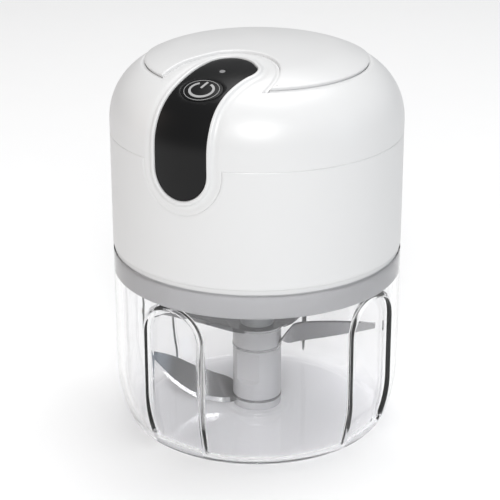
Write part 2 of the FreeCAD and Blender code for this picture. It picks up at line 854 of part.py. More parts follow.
dome_wall = dome_layer("dome_wall", as_size(0), d.shell_wall, 70)
above_seam = cylinder("above_seam", 60, d.seam_height, 130)
tongue_prism = grown_prism("tongue_prism", tongue_outline, 0, 20, 40)
dome_extent = fuse("dome_extent", above_seam, tongue_prism)
dome_plain = common("dome_plain", dome_wall, dome_extent)

rim_layer = dome_layer("rim_layer", d.rim_height, d.shell_wall, 70)
rim_pieces = inside_panel("rim", rim_layer, d.rim_width + d.panel_gap)

panel_recess_layer = dome_layer("panel_recess_layer", 3, d.panel_thickness + d.panel_gap, 70)
panel_recess = inside_panel("panel_recess", panel_recess_layer, d.panel_gap)

plate_recess_layer = dome_layer("plate_recess_layer", 3, d.plate_depth + d.panel_gap, 70)
plate_recess_disc = cylinder("plate_recess_disc", d.plate_radius, 100, 130)
hook_prism = grown_prism("hook_prism", hook_outline, 0, 100, 30)
plate_recess = cut("plate_recess", common("plate_recess_round", plate_recess_layer,
                                          plate_recess_disc), hook_prism)


def on_button(thing, across=0, along=0, out=0):
    """Places a piece on the button's axis: along climbs the slope, out leaves the surface."""
    thing.Placement.Rotation = Rotation(Vector(1, 0, 0), 1)
    bind(thing, Placement__Rotation__Angle=d.button_tilt)
    y = d.button_y + along * cosine(d.button_tilt) - out * sine(d.button_tilt)
    z = d.button_z + along * sine(d.button_tilt) + out * cosine(d.button_tilt)
    return move(thing, d.button_x + across, y, z)


def oval(label, grow, bottom, top):
    """An oval rod on the button's axis, between two distances from the surface."""
    outline = doc.addObject("Part::Ellipse", label + "_outline")
    outline.Placement.Rotation = Rotation(Vector(0, 0, 1), 1)
    bind(outline, MajorRadius=d.button_length + grow, MinorRadius=d.button_width + grow,
         Placement__Rotation__Angle=d.button_turn)
    rod = doc.addObject("Part::Extrusion", label)
    rod.Base = outline
    rod.DirMode = "Normal"
    rod.Solid = True
    bind(rod, LengthFwd=top - as_size(bottom))
    return on_button(rod, out=as_size(bottom))


button_hole = oval("button_hole", d.button_gap, -6, 3)
indicator_hole = move(cylinder("indicator_hole", d.indicator_radius + d.fit_gap, 0, 20),
                      d.indicator_x, d.indicator_y, 100)
post_places = [-d.board_post_place, d.board_post_place]
board_screw_grip = 3.0
board_posts = []
board_post_holes = []
for count, across in enumerate(post_places, start=1):
    post = doc.addObject("Part::Cylinder", f"board_post_{count}")
    bind(post, Radius=d.board_post_radius, Height=d.board_depth - d.fit_gap)
    on_button(post, across=across, out=d.fit_gap - d.board_depth)
    board_posts.append(common(f"board_post_under_dome_{count}", post,
                              dome_solid(f"post_limit_{count}", as_size(-1.5), 80)))
    hole = doc.addObject("Part::Cylinder", f"board_post_hole_{count}")
    bind(hole, Radius=d.board_screw_radius + d.fit_gap, Height=board_screw_grip + 1.2)
    board_post_holes.append(on_button(hole, across=across, out=-d.board_depth - 1))
dome_cover = cut("dome_cover", fuse("dome_with_rim", dome_plain, *rim_pieces, *board_posts),
                 *panel_recess, plate_recess, button_hole, indicator_hole, *board_post_holes)

# --------------------------------------------------------------------------------------------
# Top plate, control panel, button and indicator
# --------------------------------------------------------------------------------------------

plate_layer = dome_layer("plate_layer", d.plate_rise, d.plate_depth, 90)
plate_disc = cylinder("plate_disc", d.plate_radius - d.plate_gap, 100, 130)
plate_hook = grown_prism("plate_hook", hook_outline, d.plate_gap, 100, 30)
top_plate = cut("top_plate", common("top_plate_round", plate_layer, plate_disc), plate_hook)

panel_layer = dome_layer("panel_layer", 0, d.panel_thickness, 70)
control_panel = cut("control_panel",
                    fuse("panel_blank", *inside_panel("panel", panel_layer, as_size(0))),
                    oval("panel_button_hole", d.button_gap, -6, 3),
                    move(cylinder("panel_indicator_hole", d.indicator_radius + d.fit_gap, 0, 20),
                         d.indicator_x, d.indicator_y, 100))

outside = dome_solid("outside", as_size(0), 60)
button_top = common("button_top", oval("button_rod", as_size(0), -d.flange_depth - 0.1, 3),
                    outside)
button_flange = oval("button_flange", d.flange_overhang, -d.flange_depth - d.flange_thickness,
                     -d.flange_depth)
power_button = fuse("power_button", button_top, button_flange)

indicator_rod = move(cylinder("indicator_rod", d.indicator_radius, 0, 12),
                     d.indicator_x, d.indicator_y, 107)
indicator_lens = common("indicator_lens", indicator_rod, dome_solid("lens_limit", as_size(0), 60))

# --------------------------------------------------------------------------------------------
# Electrics: control board and its switch, battery, charging board, socket and port cover
# --------------------------------------------------------------------------------------------

board_top = -d.board_depth
control_board_plate = doc.addObject("Part::Box", "control_board_plate")
bind(control_board_plate, Length=d.board_length, Width=d.board_width, Height=d.board_thickness)
on_button(control_board_plate, -d.board_length / 2, -d.board_width / 2,
          board_top - d.board_thickness)
board_holes = []
board_screw_parts = []
for count, across in enumerate(post_places, start=1):
    hole = doc.addObject("Part::Cylinder", f"board_hole_{count}")
    bind(hole, Radius=d.board_screw_radius + 0.1, Height=d.board_thickness + 2)
    board_holes.append(on_button(hole, across, as_size(0), board_top - d.board_thickness - 1))
    head = doc.addObject("Part::Cylinder", f"board_screw_head_{count}")
    bind(head, Radius=d.board_screw_head, Height=1)
    on_button(head, across, as_size(0), board_top - d.board_thickness - 1 - d.fit_gap)
    shank = doc.addObject("Part::Cylinder", f"board_screw_shank_{count}")
    bind(shank, Radius=d.board_screw_radius, Height=d.board_thickness + board_screw_grip)
    on_button(shank, across, as_size(0), board_top - d.board_thickness - 0.1)
    board_screw_parts.append(fuse(f"board_screw_{count}", head, shank))
control_board = cut("control_board", control_board_plate, *board_holes)
board_screws = doc.addObject("Part::Compound", "board_screws")
board_screws.Links = board_screw_parts

switch_case = doc.addObject("Part::Box", "switch_case")
bind(switch_case, Length=d.switch_size, Width=d.switch_size, Height=d.switch_height)
on_button(switch_case, -d.switch_size / 2, -d.switch_size / 2, board_top + d.fit_gap)
switch_plunger = doc.addObject("Part::Cylinder", "switch_plunger")
plunger_top = -(d.flange_depth + d.flange_thickness + d.button_travel + 0.1)
switch_top = board_top + d.switch_height
bind(switch_plunger, Radius=1.7, Height=plunger_top - switch_top)
on_button(switch_plunger, out=switch_top)
tact_switch = fuse("tact_switch", switch_case, switch_plunger)

battery_cell = doc.addObject("Part::Cylinder", "battery_cell")
bind(battery_cell, Radius=d.battery_radius, Height=d.battery_length)
battery_cell.Placement.Rotation = Rotation(Vector(0, 1, 0), 90)
move(battery_cell, -d.battery_length / 2, d.battery_y, d.battery_z)

holder_length = d.battery_length + (d.holder_wall + 0.3) * 2
holder_block = block("holder_block", 0, d.battery_y, frame_top + d.fit_gap, holder_length,
                     (d.battery_radius - 1.6) * 2, d.battery_z - frame_top - 3)
holder_groove = doc.addObject("Part::Cylinder", "holder_groove")
bind(holder_groove, Radius=d.battery_radius + 0.2, Height=d.battery_length + 0.6)
holder_groove.Placement.Rotation = Rotation(Vector(0, 1, 0), 90)
move(holder_groove, -d.battery_length / 2 - 0.3, d.battery_y, d.battery_z)
holder_post_room = cylinder("holder_post_room", d.post_radius + 0.2, d.frame_bottom,
                            d.frame_bottom + d.post_height + 0.3)
battery_holder = cut("battery_holder", holder_block, holder_groove,
                     around("holder_post_rooms", holder_post_room, screw_places))

socket_back = port_y - d.port_depth
usb_socket_shell = block("usb_socket_shell", 0, port_y - 0.1 - d.port_depth / 2,
                         d.port_z - d.port_height / 2, d.port_length, d.port_depth,
                         d.port_height)
usb_socket_mouth = block("usb_socket_mouth", 0, port_y, d.port_z - d.port_height / 2 + 0.3,
                         d.port_length - 0.6, 12, d.port_height - 0.6)
usb_socket_tab = block("usb_socket_tab", 0, port_y - 0.5 - d.port_depth / 2, d.port_z - 0.35,
                       d.port_length - 2.4, d.port_depth - 1, 0.7)
charging_socket = fuse("charging_socket", cut("usb_socket_case", usb_socket_shell,
                                              usb_socket_mouth), usb_socket_tab)
power_board = block("power_board", 0, socket_back - 0.95, frame_top + d.fit_gap + 0.2, 24, 1.6,
                    d.port_z - frame_top + 4)
flap_y = d.body_radius - d.fit_gap - d.flap_bead
flap_block = block("flap_block", 0, flap_y, d.port_z - d.flap_height / 2, d.flap_length,
                   d.flap_bead * 2, d.flap_height - d.flap_bead)
flap_bead = doc.addObject("Part::Cylinder", "flap_bead")
bind(flap_bead, Radius=d.flap_bead, Height=d.flap_length)
flap_bead.Placement.Rotation = Rotation(Vector(0, 1, 0), 90)
move(flap_bead, -d.flap_length / 2, flap_y, d.port_z + d.flap_height / 2 - d.flap_bead)
port_cover = common("port_cover", fuse("flap_with_bead", flap_block, flap_bead),
                    cylinder("flap_limit", d.body_radius - d.fit_gap, 60, 90))

# --------------------------------------------------------------------------------------------
# Check every feature and write the nodes
# --------------------------------------------------------------------------------------------

bind(lower_spacer, Placement__Rotation__Angle=d.flat_turn)

NODES = [
    bowl, bowl_spindle, blade_hub, lower_spacer, upper_spacer, hub_cap,
    lower_blade, middle_blade, top_blade,
    drive_cover, housing_screws, seal_ring, shaft_seal, drive_shaft,
    motor_can, motor_shaft, lower_bushing, upper_bushing, motor_end_cap,
    rotor_core, rotor_winding, commutator, field_magnets, motor_frame,
    housing_shell, dome_cover, top_plate, control_panel, power_button, indicator_lens,
    control_board, board_screws, tact_switch, battery_cell, battery_holder,
    charging_socket, power_board, port_cover,
]

doc.recompute()
for thing in doc.Objects:
    if "Invalid" in thing.State or "Error" in thing.State:
        raise RuntimeError(f"{thing.Name} failed: {thing.State}")
for node in NODES:
    if node.Shape.isNull() or not node.Shape.isValid():
        raise RuntimeError(f"{node.Name} has no valid shape")
for node in NODES:
    box = node.Shape.BoundBox
    print(f"{node.Name:18} solids {len(node.Shape.Solids)} volume {node.Shape.Volume:10.1f} "
          f"z {box.ZMin:7.2f} {box.ZMax:7.2f}")
    node.Shape.exportStep(f"parts/{node.Name}.step")
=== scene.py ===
import math

import bmesh
import bpy
import numpy as np
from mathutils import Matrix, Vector
from mathutils.geometry import delaunay_2d_cdt
from mathutils.kdtree import KDTree


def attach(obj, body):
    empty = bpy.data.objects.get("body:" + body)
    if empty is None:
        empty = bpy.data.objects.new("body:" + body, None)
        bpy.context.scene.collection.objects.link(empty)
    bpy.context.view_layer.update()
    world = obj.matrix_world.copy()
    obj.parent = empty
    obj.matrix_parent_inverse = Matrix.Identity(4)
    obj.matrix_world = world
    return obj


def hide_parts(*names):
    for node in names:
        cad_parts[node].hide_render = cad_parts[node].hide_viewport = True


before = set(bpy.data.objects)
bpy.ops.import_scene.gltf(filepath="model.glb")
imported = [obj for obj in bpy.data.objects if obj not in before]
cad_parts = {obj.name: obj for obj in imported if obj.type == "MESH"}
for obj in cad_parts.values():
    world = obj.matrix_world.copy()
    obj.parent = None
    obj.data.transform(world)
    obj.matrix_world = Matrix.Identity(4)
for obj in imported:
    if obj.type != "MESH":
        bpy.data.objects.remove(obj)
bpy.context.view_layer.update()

# --- Studio: camera, floor and light --------------------------------------------------------
# A long lens looks down on the chopper from the front right of its control panel. The floor is
# a pale seamless sweep, lit by large soft panels and an even surround.

mm = 0.001
camera_azimuth = math.radians(29.8)
camera_elevation = math.radians(21.5)
camera_distance = 502.55 * mm
aim = Vector((0, 0, 52.5 * mm))
back = Vector((
    math.sin(camera_azimuth) * math.cos(camera_elevation),
    -math.cos(camera_azimuth) * math.cos(camera_elevation),
    math.sin(camera_elevation),
))
camera_data = bpy.data.cameras.new("studio_camera")
camera_data.lens = 121.5
camera_data.shift_x = -0.014
camera_data.clip_start = 0.01
camera_data.clip_end = 20
camera = bpy.data.objects.new("studio_camera", camera_data)
camera.location = aim + back * camera_distance
camera.rotation_mode = "QUATERNION"
camera.rotation_quaternion = (-back).to_track_quat("-Z", "Y")
bpy.context.scene.collection.objects.link(camera)
bpy.context.scene.camera = camera


def area_light(name, place, size, power, colour=(1, 1, 1)):
    light = bpy.data.lights.new(name, "AREA")
    light.shape = "RECTANGLE"
    light.size, light.size_y = size
    light.energy = power
    light.color = colour
    lamp = bpy.data.objects.new(name, light)
    lamp.location = place
    lamp.rotation_mode = "QUATERNION"
    lamp.rotation_quaternion = (aim - Vector(place)).to_track_quat("-Z", "Y")
    bpy.context.scene.collection.objects.link(lamp)


area_light("key_panel", (0.55, -0.95, 0.80), (0.5, 0.5), 11.5)
area_light("left_panel", (-1.0, -0.45, 0.30), (0.5, 0.8), 1.2, (1.0, 0.80, 0.68))
area_light("right_panel", (1.1, 0.2, 0.30), (0.4, 0.8), 0.8, (0.70, 0.84, 1.0))
area_light("overhead_panel", (0.0, 0.25, 1.3), (0.9, 0.9), 12.0)

world = bpy.data.worlds.new("pale_surround")
world.use_nodes = True
world.node_tree.nodes["Background"].inputs["Color"].default_value = (0.97, 0.985, 1, 1)
world.node_tree.nodes["Background"].inputs["Strength"].default_value = 0.26
bpy.context.scene.world = world
bpy.context.scene.view_settings.view_transform = "Standard"


class Value:
    """A shader socket that takes part in arithmetic; each operation adds a Math node."""

    def __init__(self, finish, socket):
        self.finish = finish
        self.socket = socket

    def maths(self, operation, first, second):
        return self.finish.node("ShaderNodeMath", {"operation": operation}, {0: first, 1: second})

    def __add__(self, other):
        return self.maths("ADD", self, other)

    def __mul__(self, other):
        return self.maths("MULTIPLY", self, other)

    __radd__ = __add__
    __rmul__ = __mul__


class Finish:
    """One material: a Principled shader and the nodes that feed it."""

    def __init__(self, name, **inputs):
        self.material = bpy.data.materials.new(name)
        self.material.use_nodes = True
        self.tree = self.material.node_tree
        self.shader = self.tree.nodes["Principled BSDF"]
        self.place = self.node("ShaderNodeTexCoord", {}, {}, "Object")
        self.surface(**inputs)

    def put(self, node, inputs):
        for key, value in inputs.items():
            socket = node.inputs[key]
            if isinstance(value, Value):
                self.tree.links.new(value.socket, socket)
            elif isinstance(value, tuple) and socket.type == "RGBA":
                socket.default_value = (*value[:3], 1)
            else:
                socket.default_value = value

    def node(self, kind, settings, inputs, output=0):
        """Adds a node: its type, its settings (or a ramp's stops), its sockets; gives an output."""
        node = self.tree.nodes.new(kind)
        for key, value in settings.items():
            if key == "stops":
                ramp = node.color_ramp.elements
                while len(ramp) < len(value):
                    ramp.new(0.5)
                for element, (position, colour) in zip(ramp, value):
                    element.position = position
                    element.color = (*colour, 1)
            else:
                setattr(node, key, value)
        self.put(node, inputs)
        return Value(self, node.outputs[output])

    def surface(self, **inputs):
        self.put(self.shader, {key.replace("_", " "): value for key, value in inputs.items()})

    def noise(self, size, detail=2.0, stretch=(1, 1, 1)):
        """Noise whose grains are about size across; stretch draws them out along an axis."""
        place = self.node("ShaderNodeMapping", {}, {
            "Vector": self.place, "Scale": tuple(1 / (size * axis) for axis in stretch)})
        return self.node("ShaderNodeTexNoise", {}, {"Vector": place, "Scale": 1.0,
                                                    "Detail": detail, "Roughness": 0.55})

    def blend(self, factor, first, second):
        return self.node("ShaderNodeMix", {"data_type": "RGBA"},
                         {0: factor, 6: first, 7: second}, 2)

    def bump(self, height, depth, strength=1.0):
        return self.node("ShaderNodeBump", {}, {"Height": height, "Distance": depth,
                                                "Strength": strength})


def tint(colour, factor):
    return tuple(min(1.0, channel * factor) for channel in colour)


def moulded(name, colour, roughness, grain=0.35 * mm, depth=0.002 * mm, spread=0.04, **inputs):
    """Injection-moulded plastic: slow drift in colour and gloss, and the mould's fine grain."""
    finish = Finish(name, **inputs)
    drift = finish.noise(14 * mm, 3)
    fine = finish.noise(grain, 3)
    finish.surface(
        Base_Color=finish.blend(drift, tint(colour, 1 - spread / 2), tint(colour, 1 + spread / 2)),
        Roughness=drift * (roughness * 0.35) + fine * (roughness * 0.25) + roughness * 0.7,
        Normal=finish.bump(fine, depth),
    )
    return finish.material


def metal(name, colour, roughness, stretch=(1, 1, 1), grain=0.12 * mm, depth=0.0015 * mm):
    """Bare metal: scratches drawn out along one axis, cloudy gloss and faint darker patches."""
    finish = Finish(name, Metallic=1.0)
    scratch = finish.noise(grain, 3, stretch)
    cloud = finish.noise(6 * mm, 3)
    finish.surface(
        Base_Color=finish.blend(cloud * 0.6 + scratch * 0.4,
                                tint(colour, 0.86), tint(colour, 1.08)),
        Roughness=scratch * (roughness * 0.5) + cloud * (roughness * 0.4) + roughness * 0.55,
        Normal=finish.bump(scratch, depth),
    )
    return finish.material


def dress(material, *nodes):
    """Gives CAD nodes their finish."""
    for name in nodes:
        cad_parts[name].material_slots[0].material = material


# The floor is a matt sheet of studio paper.
floor_paper = moulded("floor_paper", (0.86, 0.86, 0.86), 0.9, grain=1.5 * mm, spread=0.005,
                      Emission_Color=(1, 1, 1), Emission_Strength=0.05)
bpy.ops.mesh.primitive_plane_add(size=6)
floor = bpy.context.object
floor.name = "floor"
floor.data.materials.append(floor_paper)

# --- Bowl -----------------------------------------------------------------------------------
# One clear moulding, 2 mm thick: a thick rounded base with a raised boss for the steel pin, and
# a wall with four arched flutes pressed in, each edged by a soft roll where the wall steps in.

body_radius = 42.5
bowl_height = 55.6
corner_height = 19.3
flute_spring = 38.0
flute_turn = math.radians(-6.2)
rim_round = 0.2
sheet_radius = 41.5                # the wall is laid out flat at this radius


def corner(bottom_radius, side_radius, bottom, small):
    """Radius of the wall at a height: a small arc off the floor, then a long one up the side."""
    run = side_radius - bottom_radius
    climb = corner_height - bottom - small
    large = (climb ** 2 + run ** 2 - small ** 2) / (2 * (run - small))
    joint = corner_height - large * climb / (large - small)

    def radius(height):
        if height >= corner_height:
            return side_radius
        if height >= joint:
            return side_radius - large + math.sqrt(large ** 2 - (corner_height - height) ** 2)
        return bottom_radius + math.sqrt(max(small ** 2 - (bottom + small - height) ** 2, 0))

    heights = [bottom + (joint - bottom) * (step / 7) ** 2 for step in range(7)]
    heights += [joint + (corner_height - joint) * step / 12 for step in range(12)]
    heights += [corner_height + (flute_spring - corner_height) * step / 12 for step in range(13)]
    return radius, heights


def fluted_wall(profile, edge, plane, roll, top):
    """The wall as a grid of nested arches round each flute, and its lowest and highest rows.

    edge is the arch's half-width, plane the distance of the flute's flat from the axis and roll
    the width of the soft step between the flat and the round wall."""
    radius, heights = profile
    half_sector = sheet_radius * math.pi / 4
    lanes = [0, 2.5, 5, edge - 1.6, edge - 1.15]
    lanes += [edge + roll * (step / 12 - 0.5) for step in range(13)]
    lanes += [edge + 1.15, edge + 1.6, edge + 2.6, edge + 4]
    outer_lane = lanes[-1]
    turn_out = math.atan2(top - flute_spring, half_sector)
    bends = [turn_out * step / 10 for step in range(1, 10)]
    bends += [turn_out + (math.pi - 2 * turn_out) * step / 32 for step in range(33)]
    bends += [math.pi - turn_out * (1 - step / 10) for step in range(1, 10)]

    def loop(lane, share):
        """Points (along, height) of one arch; share moves it out to the sector's border."""
        side = lane + (half_sector - lane) * share
        path = [(side, height) for height in heights]
        for bend in bends:
            reach = min(half_sector / max(abs(math.cos(bend)), 1e-9),
                        (top - flute_spring) / max(math.sin(bend), 1e-9))
            reach = lane + (reach - lane) * share
            path.append((reach * math.cos(bend), flute_spring + reach * math.sin(bend)))
        return path + [(-side, height) for height in reversed(heights)]

    loops = [(lane, loop(lane, 0)) for lane in lanes]
    loops += [(outer_lane + 9, loop(outer_lane, share / 9)) for share in range(1, 10)]
    vertices, faces = [], []
    for quarter in range(4):
        centre = quarter * math.pi / 2 + flute_turn
        for row, (lane, path) in enumerate(loops):
            step = min(max((edge + roll / 2 - lane) / roll, 0), 1)
            pressed = step * step * (3 - 2 * step)
            for along, height in path:
                angle = along / sheet_radius
                excess = radius(flute_spring) - plane / math.cos(angle)
                fade = min(height / 9, 1)
                fade *= fade * (3 - 2 * fade)
                distance = radius(height) - pressed * max(excess, 0) * fade
                vertices.append((distance * math.cos(centre + angle),
                                 distance * math.sin(centre + angle), height))
            if row:
                count = len(path)
                start = len(vertices) - 2 * count
                faces += [(start + i, start + i + 1, start + count + i + 1, start + count + i)
                          for i in range(count - 1)]
    return vertices, faces


def ring_angles(points, height):
    """Azimuths of the wall's points at one height, in order round the axis."""
    angles = sorted(math.atan2(y, x) for x, y, z in points if abs(z - height) < 1e-6)
    kept = [angles[0]]
    for angle in angles[1:]:
        if angle - kept[-1] > 1e-6:
            kept.append(angle)
    return kept


def rows_joined(rows):
    """Closed rows of points, each joined to the next."""
    count = len(rows[0])
    faces = [(row * count + i, row * count + (i + 1) % count,
              (row + 1) * count + (i + 1) % count, (row + 1) * count + i)
             for row in range(len(rows) - 1) for i in range(count)]
    return [point for row in rows for point in row], faces


def turned_rows(rows, angles):
    """Rings round the axis at each (radius, height), joined one to the next."""
    return rows_joined([[(radius * math.cos(angle), radius * math.sin(angle), height)
                         for angle in angles] for radius, height in rows])


def joined(name, parts, sharp=40):
    """Joins lists of (vertices, faces) in millimetres into the mesh of one object."""
    build = bmesh.new()
    for vertices, faces in parts:
        made = [build.verts.new(Vector(vertex) * mm) for vertex in vertices]
        for face in faces:
            corners = list(dict.fromkeys(face))
            if len(corners) > 2:
                build.faces.new([made[index] for index in corners])
    bmesh.ops.remove_doubles(build, verts=build.verts, dist=0.002 * mm)
    bmesh.ops.dissolve_degenerate(build, edges=build.edges, dist=0.0005 * mm)
    bmesh.ops.recalc_face_normals(build, faces=build.faces)
    mesh = bpy.data.meshes.new(name)
    build.to_mesh(mesh)
    build.free()
    mesh.shade_smooth()
    mesh.set_sharp_from_angle(angle=math.radians(sharp))
    piece = bpy.data.objects.new(name, mesh)
    bpy.context.scene.collection.objects.link(piece)
    return piece


def shape(name, parts, material, body, replaced=(), sharp=40):
    """One closed piece in its finish that rides a body."""
    piece = joined(name, parts, sharp)
    piece.data.materials.append(material)
    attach(piece, body)
    if replaced:
        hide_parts(*replaced)
    return piece


wall_top = bowl_height - rim_round
outer_wall = fluted_wall(corner(35.0, body_radius, 0, 4.5), 8.95, 39.9, 1.7, wall_top)
inner_wall = fluted_wall(corner(34.0, body_radius - 2, 2.0, 4.0), 10.1, 37.9, 2.0, wall_top)
bowl_angles = ring_angles(outer_wall[0], 0)
floor_angles = ring_angles(inner_wall[0], 2.0)
rim_angles = ring_angles(outer_wall[0], wall_top)
bowl_base = turned_rows([(33.6, 0.25), (20, 0.25), (8, 0.25), (0, 0.25)], bowl_angles)
bowl_floor = turned_rows([
    (34.0, 2.0), (28, 2.0), (20, 2.0), (12, 2.0), (10.2, 2.0), (9.95, 2.08), (9.82, 2.3),
    (9.74, 2.75), (9.55, 3.03), (9.25, 3.12), (8.95, 3.03), (8.76, 2.8), (8.5, 2.7), (6, 2.7),
    (3, 2.7), (0, 2.7)], floor_angles)
bowl_rim = turned_rows([
    (body_radius, wall_top), (body_radius - 0.06, bowl_height - 0.06),
    (body_radius - rim_round, bowl_height), (body_radius - 2 + rim_round, bowl_height),
    (body_radius - 1.94, bowl_height - 0.06), (body_radius - 2, wall_top)], rim_angles)

clear = Finish("clear_plastic", Transmission_Weight=1.0, IOR=1.5,
               Base_Color=(0.985, 0.985, 0.99))
clear_haze = clear.noise(9 * mm, 2)
clear_wave = clear.noise(5 * mm, 1)
clear.surface(Roughness=clear_haze * 0.012, Normal=clear.bump(clear_wave, 0.01 * mm, 0.6))
clear_pass = clear.node("ShaderNodeBsdfTransparent", {}, {"Color": (0.84, 0.84, 0.85)})
clear_mix = clear.node("ShaderNodeMixShader", {}, {
    0: clear.node("ShaderNodeLightPath", {}, {}, "Is Shadow Ray"),
    1: Value(clear, clear.shader.outputs[0]), 2: clear_pass})
clear.put(clear.tree.nodes["Material Output"], {"Surface": clear_mix})
shape("clear_bowl", [outer_wall, inner_wall, bowl_base, bowl_floor, bowl_rim], clear.material,
      "bowl", ["bowl"])

# --- Spindle --------------------------------------------------------------------------------
# A ground steel pin moulded into the bowl's boss, on which the blade stack turns.

polished_steel = metal("polished_steel", (0.70, 0.71, 0.72), 0.2, (1, 1, 8))
dress(polished_steel, "bowl_spindle")

# --- Blade stack ----------------------------------------------------------------------------
# A grey-white hub built up of a foot, two spacers and a cap, with three pressed steel blades
# clamped between them. Each blade's ring shows as a thin bright line round the hub.

hub_radius, flat_depth, flat_low, flat_high = 7.33, 0.95, 11.4, 21.2
flat_turn = math.radians(-85)


def sleeve_row(height, depth, inset=0.0):
    """One ring of the hub's sleeve, with a flat cut into it to the given depth."""
    flat_distance = hub_radius - depth
    edge = math.acos(1 - (depth or flat_depth) / hub_radius)
    angles = [edge * step / 8 for step in range(-8, 9)]
    rest = 2 * math.pi - 2 * edge
    angles += [edge + rest * step / 72 for step in range(1, 72)]
    points = []
    for angle in angles:
        on_flat = abs(angle) <= edge + 1e-9 and depth
        radius = flat_distance / math.cos(angle) if on_flat else hub_radius
        radius -= inset
        points.append((radius * math.cos(flat_turn + angle), radius * math.sin(flat_turn + angle),
                       height))
    return points


sleeve_bottom, sleeve_top, sleeve_bore = 6.45, 22.35, 3.45
sleeve_rows = [sleeve_row(sleeve_bottom, 0, hub_radius - sleeve_bore),
               sleeve_row(sleeve_bottom, 0, 0.15), sleeve_row(sleeve_bottom + 0.05, 0, 0.04),
               sleeve_row(sleeve_bottom + 0.15, 0), sleeve_row(flat_low - 0.02, 0)]
sleeve_rows += [sleeve_row(flat_low + 1.2 * step / 10, flat_depth * max(step, 0.05) / 10)
                for step in range(11)]
sleeve_rows += [sleeve_row(flat_high - 0.1, flat_depth), sleeve_row(flat_high, flat_depth),
                sleeve_row(flat_high + 0.02, 0), sleeve_row(sleeve_top - 0.15, 0),
                sleeve_row(sleeve_top - 0.05, 0, 0.04), sleeve_row(sleeve_top, 0, 0.15),
                sleeve_row(sleeve_top, 0, hub_radius - sleeve_bore)]
sleeve_rows.append(sleeve_rows[0])
hub_plastic = moulded("hub_plastic", (0.38, 0.38, 0.39), 0.35, spread=0.03)
shape("hub_sleeve", [rows_joined(sleeve_rows)], hub_plastic, "blade_stack",
      ["lower_spacer"], sharp=25)
cap_plastic = moulded("cap_plastic", (0.30, 0.31, 0.32), 0.4)
dress(hub_plastic, "blade_hub", "upper_spacer")
dress(cap_plastic, "hub_cap")

blade_thickness, grind = 0.8, 1.25


def stations_between(stations, steps):
    """The stations of an arm (reach, drift, rise, chord, pitch), smoothed along it."""
    stations = np.array(stations, float)
    slopes = np.gradient(stations, axis=0)
    rows = []
    for index in range(len(stations) - 1):
        for step in range(steps):
            t = step / steps
            rows.append((2 * t ** 3 - 3 * t ** 2 + 1) * stations[index]
                        + (t ** 3 - 2 * t ** 2 + t) * slopes[index]
                        + (3 * t ** 2 - 2 * t ** 3) * stations[index + 1]
                        + (t ** 3 - t ** 2) * slopes[index + 1])
    return rows + [stations[-1]]


def lofted(turn, height, rows, section):
    """A closed skin through the rows' sections; section gives (across, up) for a chord."""
    turn = math.radians(turn)
    vertices = []
    for reach, drift, rise, chord, pitch in rows:
        outline = section(chord)
        lean = math.radians(pitch)
        for across, up in outline:
            y = drift + across * math.cos(lean) - up * math.sin(lean)
            z = height + rise + across * math.sin(lean) + up * math.cos(lean)
            vertices.append((reach * math.cos(turn) - y * math.sin(turn),
                             reach * math.sin(turn) + y * math.cos(turn), z))
    count = len(outline)
    vertices, faces = rows_joined([vertices[start:start + count]
                                   for start in range(0, len(vertices), count)])
    faces += [tuple(range(count))[::-1], tuple(range(len(vertices) - count, len(vertices)))]
    return vertices, faces


def plate_section(chord):
    """A flat plate with eased back corners, ground thin along its leading edge."""
    half, back = blade_thickness / 2, -chord / 2
    ground = min(grind, chord * 0.4)
    return [(back, -half + 0.1), (back + 0.1, -half), (chord / 2, -half), (chord / 2, -half + 0.06),
            (chord / 2 - ground, half), (back + 0.1, half), (back, half - 0.1)]


def ground_highlight_section(chord):
    """The ground face: a film of brighter steel over the plate's leading bevel, partly its ground
    finish and partly a painted highlight.
    """
    half, front = blade_thickness / 2, chord / 2
    ground = min(grind, chord * 0.4)
    return [(front + 0.01, -half + 0.05), (front + 0.01, -half + 0.075),
            (front - ground, half + 0.015), (front - ground, half - 0.03)]


def blade(name, height, overhang, arms):
    ring = hub_radius + overhang
    top, ease = height + blade_thickness, 0.05
    rows = [(sleeve_bore, height), (ring - ease, height), (ring, height + ease),
            (ring, top - ease), (ring - ease, top), (sleeve_bore, top), (sleeve_bore, height)]
    parts, edges = [turned_rows(rows, [math.pi * step / 60 for step in range(120)])], []
    for turn, stations in arms:
        between = stations_between(stations, 10)
        parts.append(lofted(turn, height, between, plate_section))
        # Over each leading bevel, a film of brighter steel: partly the ground finish, partly a
        # painted highlight.
        edges.append(lofted(turn, height, between[8:], ground_highlight_section))
    shape(name + "_plate", parts, blade_steel, "blade_stack", [name], sharp=30)
    shape(name + "_edge", edges, ground_steel_highlight, "blade_stack", sharp=30)


blade_steel = metal("blade_steel", (0.32, 0.32, 0.325), 0.22, (1, 1, 9))
# The bevel film's steel is far brighter than the blade's: partly the ground finish, partly a
# painted highlight along the edge.
ground_steel_highlight = metal("ground_steel_highlight", (0.90, 0.90, 0.91), 0.18, (9, 1, 1), grain=0.06 * mm)
blade("lower_blade", 5.65, 0.12, [(-150, [
    (5.6, 0, 0.4, 8, 0), (9.0, 0, 1.2, 8.5, -38), (14.0, 0.5, 2.6, 9, -55),
    (19.0, 0.5, 4.6, 9.5, -62), (25.0, 1.0, 8.6, 8, -64), (32.0, 3.0, 14.5, 2.5, -64)])])
blade("middle_blade", 22.35, 0.12, [(30, [
    (5.6, 0, 0.4, 8, 0), (9.5, 0, 2.4, 8.5, -48), (13.0, 0.5, 3.7, 8, -65),
    (24.5, 1.5, 4.4, 6, -65), (35.0, 3.0, 4.6, 2, -65)])])
top_arm = [(5.6, 0, 0.4, 13, 0), (10.0, 0, 1.2, 11.5, 3), (18.0, 1.0, 4.2, 8, 5),
           (27.0, 2.6, 7.8, 5.5, 6), (33.0, 4.0, 10.0, 2, 6)]
blade("top_blade", 28.9, 0.6, [(-135, top_arm), (60, top_arm)])
